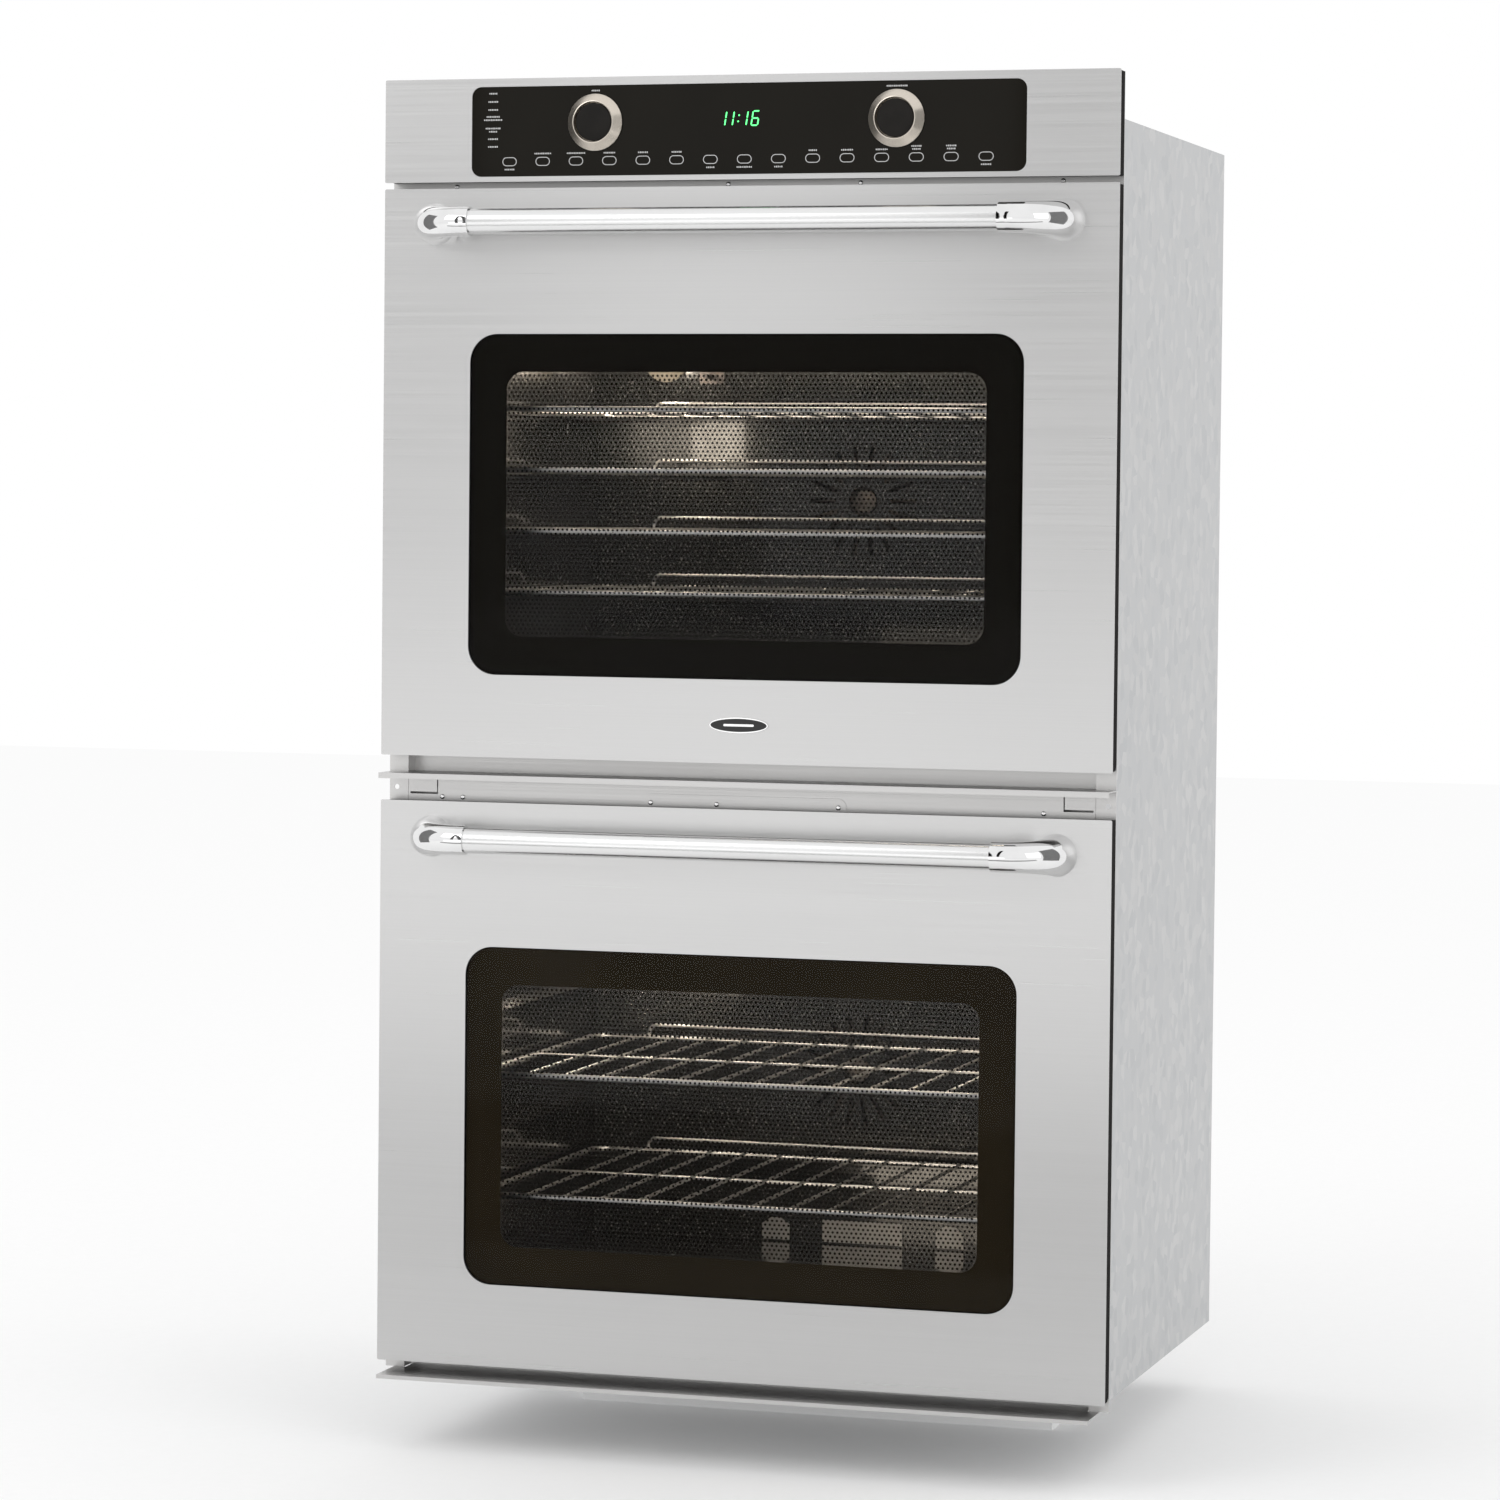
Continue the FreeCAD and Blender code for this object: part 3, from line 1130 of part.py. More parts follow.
def make_rack():
    """A flat wire rack with rounded corners and a raised rail along its back."""
    level = cavity_floor + rack_first
    front = rack_start
    rear = rack_end - rack_rod
    side = cavity_half - rack_play - rack_rod
    parts = []
    for k, y in enumerate((front, rear)):
        parts.append(rod("rack_end_%d" % k, "X", (-(side - rack_bend), y, level),
                         (side - rack_bend) * 2, rack_rod))
    for k, x in enumerate((-side, side)):
        parts.append(rod("rack_side_%d" % k, "Y", (x, front + rack_bend, level),
                         rear - front - rack_bend * 2, rack_rod))
    corners = ((side - rack_bend, rear - rack_bend, 0), (rack_bend - side,
                                                        rear - rack_bend, 90),
               (rack_bend - side, front + rack_bend, 180), (side - rack_bend,
                                                            front + rack_bend, 270))
    for k, (x, y, angle) in enumerate(corners):
        parts.append(bend("rack_corner_%d" % k, (x, y, level),
                          Rotation(Vector(0, 0, 1), angle), rack_bend, rack_rod))
    middle = front + (rear - front) / 2
    top = level + rack_rod / 2
    parts.append(rod("rack_middle", "X", (-side, middle, level), side * 2, rack_wire))
    count = int((side.value - rack_bend.value - rack_rod.value) / wire_pitch.value)
    for k in range(-count, count + 1):
        parts.append(rod("rack_wire_%d" % (k + count), "Y", (wire_pitch * k, front, top),
                         rear - front, rack_wire))
    rail_side = side - rail_inset
    rail_z = level + rail_rise
    for k, sign in enumerate((-1, 1)):
        parts.append(rod("rail_post_%d" % k, "Z", (rail_side * sign, rear, level),
                         rail_rise - rail_bend, rack_wire))
        turn = Rotation(Vector(1, 0, 0), 90)
        if sign < 0:
            turn = Rotation(Vector(0, 1, 0), -90) * turn
        parts.append(bend("rail_bend_%d" % k,
                          ((rail_side - rail_bend) * sign, rear, rail_z - rail_bend),
                          turn, rail_bend, rack_wire))
    parts.append(rod("rail_bar", "X", (rail_bend - rail_side, rear, rail_z),
                     (rail_side - rail_bend) * 2, rack_wire))
    return fuse("rack", *parts)


def make_racks():
    master = make_rack()
    for k, level in enumerate(LOWER_RACKS):
        subpart("lower_rack_%d" % (k + 1),
                raised("lower_rack_%d" % (k + 1), master, rack_pitch * level))
    for k, level in enumerate(UPPER_RACKS):
        subpart("upper_rack_%d" % (k + 1),
                raised("upper_rack_%d" % (k + 1), master,
                       oven_pitch + rack_pitch * level))


# ------------------------------------------------------------------------- the controls

def make_knob(name, x):
    """A conical ring with a shaft, and a flat disc set into its front."""
    body = new_body(name + "_ring")
    profile = new_sketch(body, name + "_profile", "XY_Plane", 0)
    rear = -knob_gap
    front = -knob_height
    floor_y = rear - knob_web
    add_polygon(profile, [
        (0, floor_y), (knob_cap, floor_y), (knob_cap, front + knob_bevel),
        (knob_rim - knob_land, front), (knob_rim, front + knob_round),
        (knob_radius, rear - knob_skirt), (knob_radius, rear), (shaft_radius, rear),
        (shaft_radius, knob_shaft), (0, knob_shaft)])
    turn = body.newObject("PartDesign::Revolution", name + "_turn")
    turn.Profile = profile
    turn.ReferenceAxis = (profile, ["V_Axis"])
    turn.Angle = 360
    place(body, x, face, knob_z)
    disc = rod(name + "_disc", "Y", (x, face + floor_y - disc_thick, knob_z), disc_thick,
               knob_cap - glass_play)
    return subpart(name, group(name, body, disc))


def make_controls():
    x = both(0, half_width - control_side)
    z = (fascia_top - control_over - control_height, fascia_top - control_over)
    fascia_z = (fascia_low, fascia_top)
    subpart("control_fascia", make_skin("control_fascia", fascia_z, x, z, control_corner))
    depth = flange_setback - skin_gauge
    rail = fascia_height - control_over - control_height - edge_inset
    subpart("fascia_casing", make_casing("fascia_casing", fascia_z, depth, x, z,
                                         control_corner, control_lap, (casing_rail, rail)))
    glass = make_pane("control_pane", x, z, control_corner, (face, pane_back))
    hole = rod("knob_hole", "Y", (knob_place, face - OVER, knob_z), glass_thick + OVER * 2,
               shaft_radius + rest_gap)
    subpart("control_glass", cut("control_glass", glass, pair("knob_holes", hole)))
    make_knob("left_knob", -knob_place)
    make_knob("right_knob", knob_place)
    board_y = face + board_setback
    board_half = half_width - control_side - board_side
    board = box("board_sheet", both(0, board_half), (board_y, board_y + board_thick),
                (z[0] + board_margin, z[1] - board_margin))
    posts = []
    for k, post_z in enumerate((z[0] + board_margin * 2, z[1] - board_margin * 2)):
        posts.append(rod("board_post_%d" % k, "Y", (board_half - post_inset, web_back, post_z),
                         board_setback - glass_thick - casing_web, post_radius))
    display = box("display_block", both(0, display_half), (pane_back, board_y),
                  both(knob_z, display_high))
    subpart("control_board", group(
        "control_board",
        fuse("board_solid", board, pair("board_posts", group("board_post_set", *posts))),
        display))
    encoder = cut(
        "encoder",
        rod("encoder_body", "Y", (knob_place, pane_back, knob_z),
            board_setback - glass_thick, encoder_radius),
        rod("encoder_bore", "Y", (knob_place, pane_back - OVER, knob_z),
            knob_shaft + knob_shaft_play - glass_thick + OVER, shaft_radius + pin_play))
    subpart("knob_encoders", pair("knob_encoders", encoder))


# --------------------------------------------------------------------- blower and supply

def make_blower():
    """A drum housing with an outlet duct to the front, and its cage wheel."""
    axis_z = ceiling + oven_pitch + cavity_wall + blower_radius + blower_lift
    axis_y = face + blower_setback
    half = blower_length / 2
    drum = rod("drum_outside", "X", (-half, axis_y, axis_z), blower_length, blower_radius)
    duct_x = both(0, half - duct_inset)
    duct_z = (axis_z - blower_radius, axis_z - blower_radius + duct_height)
    duct = box("duct_outside", duct_x, (recess_back, axis_y), duct_z)
    feet = []
    for k, x in enumerate((duct_inset - half, half - duct_inset - foot_thick)):
        feet.append(box("blower_foot_%d" % k, (x, x + foot_thick), both(axis_y, foot_half),
                        (ceiling + oven_pitch + cavity_wall,
                         axis_z - blower_radius + foot_lap)))
    drum_inside = rod("drum_inside", "X", (gauge - half, axis_y, axis_z),
                      blower_length - gauge * 2, blower_radius - gauge)
    duct_inside = box("duct_inside", (duct_x[0] + gauge, duct_x[1] - gauge),
                      (recess_back - OVER, axis_y), (duct_z[0] + gauge, duct_z[1] - gauge))
    bore = rod("drum_bore", "X", (-half - OVER, axis_y, axis_z), blower_length + OVER * 2,
               shaft_radius + pin_play)
    subpart("blower_housing", cut("blower_housing", fuse("blower_solid", drum, duct, *feet),
                                  drum_inside, duct_inside, bore))
    wheel = new_body("blower_wheel")
    steps = [("wheel_disc", wheel_radius, -gauge, gauge * 2),
             ("wheel_shaft", shaft_radius, -(half + wheel_axle),
              blower_length + wheel_axle * 2)]
    for name, radius, x, length in steps:
        disc = new_sketch(wheel, name, "YZ_Plane", x)
        add_circle(disc, (size_of(0), size_of(0)), radius)
        feature = wheel.newObject("PartDesign::Pad", name + "_pad")
        feature.Profile = disc
        bind(feature, "Length", length)
    blade_sketch = new_sketch(wheel, "wheel_blade", "YZ_Plane", -wheel_length / 2)
    inner = wheel_radius - wheel_blade
    add_polygon(blade_sketch, [(inner, -gauge / 2), (wheel_radius, -gauge / 2),
                               (wheel_radius, gauge / 2), (inner, gauge / 2)])
    blade = wheel.newObject("PartDesign::Pad", "wheel_blade_pad")
    blade.Profile = blade_sketch
    bind(blade, "Length", wheel_length)
    ring = wheel.newObject("PartDesign::PolarPattern", "wheel_blades")
    ring.Originals = [blade]
    axis = [item for item in wheel.Origin.OriginFeatures if item.Role == "X_Axis"][0]
    ring.Axis = (axis, [""])
    ring.Angle = 360
    ring.Occurrences = WHEEL_BLADES
    wheel.Tip = ring
    place(wheel, 0, axis_y, axis_z)
    subpart("blower_wheel", wheel)


def make_supply():
    """The junction box on top of the chassis and its cable gland."""
    left = box_side - chassis_half
    x = (left, left + box_width)
    rear = back - gland_length - box_rear
    y = (rear - box_depth, rear)
    z = (chassis_top, chassis_top + box_height)
    shell = box("box_outside", x, y, z)
    hollow = box("box_inside", (x[0] + gauge, x[1] - gauge), (y[0] + gauge, y[1] - gauge),
                 (z[0] + gauge, z[1] - gauge))
    middle = left + box_width / 2
    level = chassis_top + box_height / 2
    entry = rod("box_entry", "Y", (middle, rear - gland_lock / 2, level), gland_lock,
                gland_neck + pin_play)
    subpart("junction_box", cut("junction_box", shell, hollow, entry))
    flange = rod("gland_flange", "Y", (middle, rear, level), gland_length, gland_radius)
    neck = rod("gland_neck", "Y", (middle, rear - gland_lock, level), gland_length,
               gland_neck)
    bore = rod("gland_hole", "Y", (middle, rear - gland_lock - OVER, level),
               gland_length + gland_lock + OVER * 2, gland_bore)
    subpart("cable_gland", cut("cable_gland", fuse("gland_solid", flange, neck), bore))


def make_gaskets():
    inner_x = both(0, cavity_half + gasket_gap)
    inner_z = (cavity_floor - gasket_gap, ceiling + gasket_gap)
    y = (recess_face - gasket_thick, recess_face)
    gasket = rounded_plate("gasket", (inner_x[0] - gasket_width, inner_x[1] + gasket_width),
                           (inner_z[0] - gasket_width, inner_z[1] + gasket_width),
                           gasket_width * 2, y)
    rounded_pocket(gasket, "gasket_opening", inner_x, inner_z, gasket_width, y)
    in_both_ovens("door_gaskets", gasket)


def make_screws():
    """Screw heads on the middle strip and on the rail above the upper door."""
    heads = []
    strip_z = door_top + strip_screw_rise
    plate_front = flange_face - plate_thick - screw_height
    strip_front = flange_face - screw_height
    plate_end = plate_left + plate_width - plate_screw_inset
    spots = [(x, plate_front, strip_z) for x in
             (plate_left + plate_screw_inset, plate_left + plate_screw_place, plate_end)]
    spots += [((half_width - edge) * side, strip_front, strip_z)
              for side, edge in STRIP_SCREWS]
    rail_z = upper_top + fascia_gap / 2
    spots += [((half_width - edge) * side, strip_front, rail_z)
              for side, edge in RAIL_END_SCREWS]
    spots += [(x, strip_front, rail_z) for x in RAIL_SCREWS]
    for k, (x, y, z) in enumerate(spots):
        heads.append(rod("trim_screw_%d" % k, "Y", (x, y, z), screw_height, trim_head))
    subpart("trim_screws", group("trim_screws", *heads))


# ------------------------------------------------------------------ building and writing

make_chassis()
make_front_frame()
make_trims()
make_doors()
make_hinge_mounts()
make_latches()
make_cavity()
make_cavity_fittings()
make_rack_guides()
make_ventilation()
make_racks()
make_controls()
make_blower()
make_supply()
make_gaskets()
make_screws()
doc.recompute()

faults = []
for thing in doc.Objects:
    if "Invalid" in thing.State or "Error" in thing.State:
        faults.append("%s is %s" % (thing.Name, thing.State))
for thing in subparts:
    if thing.Shape.isNull() or not thing.Shape.isValid() or not thing.Shape.Solids:
        faults.append("%s has no valid solid" % thing.Label)
if faults:
    raise RuntimeError("; ".join(faults))

os.makedirs("parts", exist_ok=True)
for thing in subparts:
    thing.Shape.exportStep("parts/%s.step" % thing.Label)
print(len(subparts), "sub-parts written")
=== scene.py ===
import json
import math

import bpy
from mathutils import Euler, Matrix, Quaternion, Vector


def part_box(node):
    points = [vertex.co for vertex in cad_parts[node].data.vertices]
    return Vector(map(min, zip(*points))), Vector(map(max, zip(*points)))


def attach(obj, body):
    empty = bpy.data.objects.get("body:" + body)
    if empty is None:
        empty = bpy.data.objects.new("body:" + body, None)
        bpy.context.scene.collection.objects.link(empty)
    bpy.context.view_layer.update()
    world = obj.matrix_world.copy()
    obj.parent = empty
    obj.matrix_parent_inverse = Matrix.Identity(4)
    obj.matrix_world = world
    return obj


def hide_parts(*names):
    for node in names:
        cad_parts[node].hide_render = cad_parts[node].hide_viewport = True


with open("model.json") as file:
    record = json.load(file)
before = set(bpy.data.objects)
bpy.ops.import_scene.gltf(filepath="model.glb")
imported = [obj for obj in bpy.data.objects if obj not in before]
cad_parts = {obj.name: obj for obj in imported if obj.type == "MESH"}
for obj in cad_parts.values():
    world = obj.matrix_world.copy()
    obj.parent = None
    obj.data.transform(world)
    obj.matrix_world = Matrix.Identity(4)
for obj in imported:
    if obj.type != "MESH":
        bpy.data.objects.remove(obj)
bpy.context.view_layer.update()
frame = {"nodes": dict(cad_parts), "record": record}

# The looks of a built-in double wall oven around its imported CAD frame.  Metres, +Z up,
# the doors face -Y.

OVENS = ("lower", "upper")
WHITE = (1, 1, 1)


def middle(node):
    low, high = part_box(node)
    return (low + high) / 2


# ---------------------------------------------------------------------------- materials

# Nearly all of a noise pattern's values lie between these two.
PATTERN_LOW = 0.25
PATTERN_HIGH = 0.75
BRUSH_DEPTH = 0.00002


class Finish:
    """A material whose shader is fed by patterns in the part's own metres."""

    def __init__(self, name, **constants):
        self.material = bpy.data.materials.new(name)
        self.material.use_nodes = True
        self.tree = self.material.node_tree
        self.shader = self.tree.nodes["Principled BSDF"]
        for socket, value in constants.items():
            self.shader.inputs[socket.replace("_", " ")].default_value = value

    def node(self, kind, **settings):
        made = self.tree.nodes.new("ShaderNode" + kind)
        for name, value in settings.items():
            setattr(made, name, value)
        return made

    def link(self, source, target):
        self.tree.links.new(source, target)

    def specular(self, level):
        self.shader.inputs["Specular IOR Level"].default_value = level

    def glow(self, colour, strength):
        self.shader.inputs["Emission Color"].default_value = (*colour, 1)
        self.shader.inputs["Emission Strength"].default_value = strength

    def where(self, scale=(1, 1, 1)):
        """Object coordinates, with the pattern made finer by scale along each axis."""
        mapping = self.node("Mapping")
        mapping.inputs["Scale"].default_value = scale
        self.link(self.node("TexCoord").outputs["Object"], mapping.inputs["Vector"])
        return mapping.outputs["Vector"]

    def noise(self, scale, detail=2.0, stretch=(1, 1, 1)):
        made = self.node("TexNoise")
        made.inputs["Scale"].default_value = scale
        made.inputs["Detail"].default_value = detail
        self.link(self.where(stretch), made.inputs["Vector"])
        return made.outputs["Fac"]

    def cells(self, scale, output="Distance", randomness=1.0, stretch=(1, 1, 1)):
        made = self.node("TexVoronoi")
        made.inputs["Scale"].default_value = scale
        made.inputs["Randomness"].default_value = randomness
        self.link(self.where(stretch), made.inputs["Vector"])
        return made.outputs[output]

    def waves(self, scale, direction):
        made = self.node("TexWave", wave_type="BANDS", bands_direction=direction)
        made.inputs["Scale"].default_value = scale
        self.link(self.where(), made.inputs["Vector"])
        return made.outputs["Fac"]

    def combine(self, operation, first, second):
        made = self.node("Math", operation=operation)
        self.link(first, made.inputs[0])
        self.link(second, made.inputs[1])
        return made.outputs[0]

    def colours(self, factor, *stops):
        """Feeds the base colour through a ramp of (position, colour) stops."""
        ramp = self.node("ValToRGB")
        elements = ramp.color_ramp.elements
        elements[0].position, elements[0].color = stops[0][0], (*stops[0][1], 1)
        elements[1].position, elements[1].color = stops[-1][0], (*stops[-1][1], 1)
        for position, colour in stops[1:-1]:
            elements.new(position).color = (*colour, 1)
        self.link(factor, ramp.inputs["Fac"])
        self.link(ramp.outputs["Color"], self.shader.inputs["Base Color"])

    def rough(self, factor, low, high):
        """Spreads a pattern over a range of roughness."""
        spread = self.node("MapRange")
        spread.inputs["From Min"].default_value = PATTERN_LOW
        spread.inputs["From Max"].default_value = PATTERN_HIGH
        spread.inputs["To Min"].default_value = low
        spread.inputs["To Max"].default_value = high
        self.link(factor, spread.inputs["Value"])
        self.link(spread.outputs["Result"], self.shader.inputs["Roughness"])

    def bump(self, factor, depth, strength):
        made = self.node("Bump")
        made.inputs["Strength"].default_value = strength
        made.inputs["Distance"].default_value = depth
        self.link(factor, made.inputs["Height"])
        self.link(made.outputs["Normal"], self.shader.inputs["Normal"])


def grey(level, warmth=0.0):
    """A grey, warmer by that share of its level."""
    return (level * (1 + warmth), level, level * (1 - warmth))


def brushed(name, level, low, high, stretch, warmth=0.0):
    """Metal with fine lines along the axis that stretch makes least fine."""
    finish = Finish(name, Metallic=1.0)
    lines = finish.noise(1.0, detail=3, stretch=stretch)
    finish.colours(lines, (0.3, grey(level * 0.97, warmth)), (0.7, grey(level, warmth)))
    finish.rough(lines, low, high)
    finish.bump(lines, BRUSH_DEPTH, 0.5)
    return finish.material


def make_chrome():
    finish = Finish("polished_chrome", Metallic=1.0)
    haze = finish.noise(40, detail=3)
    finish.colours(haze, (0.3, grey(0.80)), (0.7, grey(0.86)))
    finish.rough(haze, 0.03, 0.08)
    return finish.material


def make_knob_metal():
    """Satin nickel with rings about each knob's axis; the knobs are a mirror pair."""
    knob = middle("right_knob")
    finish = Finish("satin_nickel", Metallic=1.0)
    turned = finish.node("TexWave", wave_type="RINGS", rings_direction="Y")
    turned.inputs["Scale"].default_value = 420
    turned.inputs["Distortion"].default_value = 1.5
    mirror = finish.node("VectorMath", operation="ABSOLUTE")
    shift = finish.node("VectorMath", operation="SUBTRACT")
    shift.inputs[1].default_value = (knob.x, 0, knob.z)
    finish.link(finish.where(), mirror.inputs[0])
    finish.link(mirror.outputs[0], shift.inputs[0])
    finish.link(shift.outputs[0], turned.inputs["Vector"])
    rings = turned.outputs["Fac"]
    finish.colours(rings, (0.2, (0.66, 0.60, 0.52)), (0.8, (0.74, 0.68, 0.60)))
    finish.rough(rings, 0.2, 0.34)
    finish.bump(rings, 0.00001, 0.4)
    return finish.material


def make_black_paint():
    finish = Finish("black_paint", Coat_Weight=0.3, Coat_Roughness=0.15)
    finish.specular(0.35)
    peel = finish.noise(900, detail=1)
    finish.colours(finish.noise(30), (0.3, grey(0.006)), (0.7, grey(0.010)))
    finish.rough(peel, 0.28, 0.42)
    finish.bump(peel, 0.00004, 0.3)
    return finish.material


def make_edge_paint():
    """Flat black, for the sides of the doors and of the control panel."""
    finish = Finish("flat_black")
    finish.specular(0.04)
    peel = finish.noise(700, detail=2)
    finish.colours(peel, (0.3, (0.0030, 0.0022, 0.0020)), (0.7, (0.0050, 0.0038, 0.0034)))
    finish.rough(peel, 0.55, 0.75)
    finish.bump(peel, 0.00005, 0.3)
    return finish.material


def make_galvanised():
    finish = Finish("galvanised_sheet", Metallic=0.9)
    spangle = finish.cells(70, output="Color")
    split = finish.node("SeparateColor")
    finish.link(spangle, split.inputs[0])
    shade = split.outputs[0]
    finish.colours(shade, (0.0, grey(0.46, -0.02)), (0.5, grey(0.54, -0.01)),
                   (1.0, grey(0.62)))
    finish.rough(shade, 0.34, 0.5)
    finish.bump(finish.noise(220, detail=3), 0.00003, 0.3)
    return finish.material


def make_enamel():
    """Porcelain enamel: a dark ground with fine pale specks, slightly wavy."""
    finish = Finish("speckled_enamel", Coat_Weight=0.6, Coat_Roughness=0.06)
    speck = finish.cells(260)
    finish.colours(speck, (0.0, grey(0.30, 0.04)), (0.17, grey(0.16, 0.03)),
                   (0.24, grey(0.040, 0.02)), (1.0, grey(0.026, 0.02)))
    finish.rough(finish.noise(60, detail=3), 0.14, 0.28)
    finish.bump(finish.noise(18, detail=2), 0.0006, 0.25)
    return finish.material


def make_pane(name, colour, alpha, specular):
    """Glass that shows what is behind it, with faint smears in its gloss."""
    finish = Finish(name, Alpha=alpha, IOR=1.5)
    finish.specular(specular)
    smears = finish.noise(9, detail=4)
    finish.colours(smears, (0.3, colour), (0.7, tuple(c * 1.3 for c in colour)))
    finish.rough(smears, 0.015, 0.05)
    return finish.material


def make_ceramic(name, colour, specular):
    """Black ceramic print seen through glass."""
    finish = Finish(name)
    finish.specular(specular)
    cloud = finish.noise(7, detail=3)
    finish.colours(cloud, (0.3, colour), (0.7, tuple(c * 1.35 for c in colour)))
    finish.rough(cloud, 0.05, 0.1)
    return finish.material


def make_print():
    finish = Finish("pale_print", Roughness=0.5)
    finish.colours(finish.noise(600), (0.3, grey(0.50)), (0.7, grey(0.60)))
    return finish.material


def make_glow(name, colour, strength):
    finish = Finish(name, Roughness=0.4)
    finish.glow(colour, strength)
    finish.colours(finish.noise(400), (0.3, colour),
                   (0.7, tuple(min(1, c * 1.1) for c in colour)))
    return finish.material


def make_gasket():
    """Braided glass fibre."""
    finish = Finish("braided_seal", Sheen_Weight=0.3)
    weave = finish.combine("MULTIPLY", finish.waves(160, "DIAGONAL"),
                           finish.waves(160, "X"))
    finish.colours(weave, (0.0, grey(0.02)), (1.0, grey(0.11)))
    finish.rough(weave, 0.8, 0.95)
    finish.bump(weave, 0.0006, 0.7)
    return finish.material


def make_board():
    finish = Finish("circuit_board")
    tracks = finish.cells(260, randomness=0.4, stretch=(1, 1, 2.2))
    finish.colours(tracks, (0.1, (0.01, 0.09, 0.035)), (0.45, (0.012, 0.12, 0.05)),
                   (0.5, (0.03, 0.2, 0.09)))
    finish.rough(tracks, 0.3, 0.45)
    return finish.material


def make_plastic():
    finish = Finish("moulded_black")
    grain = finish.noise(1400, detail=2)
    finish.colours(finish.noise(25), (0.3, grey(0.012)), (0.7, grey(0.020)))
    finish.rough(grain, 0.38, 0.52)
    finish.bump(grain, 0.00005, 0.4)
    return finish.material


def make_knob_disc():
    finish = Finish("knob_centre")
    finish.specular(0.10)
    grain = finish.noise(1100, detail=2)
    finish.colours(finish.noise(30), (0.3, grey(0.009, 0.1)), (0.7, grey(0.014, 0.1)))
    finish.rough(grain, 0.3, 0.42)
    finish.bump(grain, 0.00003, 0.3)
    return finish.material


def make_element():
    """An oxidised alloy sheath."""
    finish = Finish("oxidised_sheath", Metallic=0.8)
    scale = finish.noise(90, detail=4)
    finish.colours(scale, (0.25, (0.10, 0.09, 0.085)), (0.55, (0.20, 0.18, 0.17)),
                   (0.8, (0.28, 0.22, 0.17)))
    finish.rough(scale, 0.45, 0.65)
    finish.bump(scale, 0.0001, 0.4)
    return finish.material


def make_brass():
    finish = Finish("plated_brass", Metallic=1.0)
    cast = finish.noise(300, detail=3)
    finish.colours(cast, (0.3, (0.55, 0.46, 0.26)), (0.7, (0.66, 0.56, 0.33)))
    finish.rough(cast, 0.28, 0.42)
    finish.bump(cast, 0.00004, 0.4)
    return finish.material


def make_lens():
    """A ribbed lamp glass with the lamp's glow in it."""
    finish = Finish("lamp_lens")
    finish.glow((1.0, 0.82, 0.58), 0.12)
    ribs = finish.waves(300, "Z")
    finish.colours(ribs, (0.2, (0.16, 0.14, 0.11)), (0.8, (0.26, 0.23, 0.18)))
    finish.rough(ribs, 0.1, 0.25)
    finish.bump(ribs, 0.0004, 0.6)
    return finish.material


# How fine the lines of a brushed metal are along X, Y and Z.
ALONG_X = (3.0, 500.0, 900.0)
ALONG_X_FINE = (5.0, 1400.0, 1400.0)
BLASTED = (60, 60, 60)
DRAWN_WIRE = (200, 200, 200)

MATERIALS = {
    "stainless": brushed("brushed_stainless", 0.605, 0.27, 0.37, ALONG_X, 0.004),
    "trim": brushed("brushed_trim", 0.60, 0.30, 0.42, ALONG_X, 0.01),
    "bracket": brushed("satin_plate", 0.56, 0.50, 0.62, BLASTED, 0.03),
    "tube": brushed("satin_tube", 0.82, 0.18, 0.28, ALONG_X_FINE),
    "chrome": make_chrome(),
    "nickel": make_knob_metal(),
    "black_paint": make_black_paint(),
    "edge_paint": make_edge_paint(),
    "galvanised": make_galvanised(),
    "enamel": make_enamel(),
    "window": make_pane("oven_window", (0.004, 0.0035, 0.003), 0.14, 0.3),
    "clear_glass": make_pane("clear_pane", (0.03, 0.032, 0.03), 0.05, 0.5),
    "control_glass": make_ceramic("black_glass", (0.0070, 0.0060, 0.0042), 0.12),
    # Both windows carry one border print in two copies. The lower door's copy is painted
    # lighter and warmer, as painted light; the upper door's copy is painted darker, as
    # painted shade.
    "frit_painted_lit": make_ceramic("border_print_painted_lit", (0.0125, 0.0092, 0.0048), 0.03),
    "frit_painted_shade": make_ceramic("border_print_painted_shade", (0.0026, 0.0021, 0.0013), 0.02),
    "dots": make_ceramic("dot_print", (0.0025, 0.0022, 0.0018), 0.02),
    "print": make_print(),
    "digits": make_glow("green_digits", (0.10, 1.0, 0.22), 1.6),
    "rack_steel": brushed("plated_wire", 0.88, 0.24, 0.36, DRAWN_WIRE, 0.02),
    "gasket": make_gasket(),
    "board": make_board(),
    "plastic": make_plastic(),
    "knob_disc": make_knob_disc(),
    "element": make_element(),
    "brass": make_brass(),
    "lens": make_lens(),
}

# Nodes whose own finish differs from the one their material slot names.
OWN_FINISH = {
    "element_brackets": "bracket", "lower_fan": "element", "upper_fan": "element",
    "front_frame": "trim", "mid_trim": "trim", "bottom_trim": "trim",
    "lower_handle_tube": "tube", "upper_handle_tube": "tube",
    "lower_door_casing": "edge_paint", "upper_door_casing": "edge_paint",
    "fascia_casing": "edge_paint", "oven_lamps": "lens",
}

for part in frame["record"]["subparts"]:
    node = frame["nodes"][part["node"]]
    node.data.materials.clear()
    finish = OWN_FINISH.get(part["node"], part["material_slot"])
    node.data.materials.append(MATERIALS[finish])


# ------------------------------------------------------------------------------ meshes

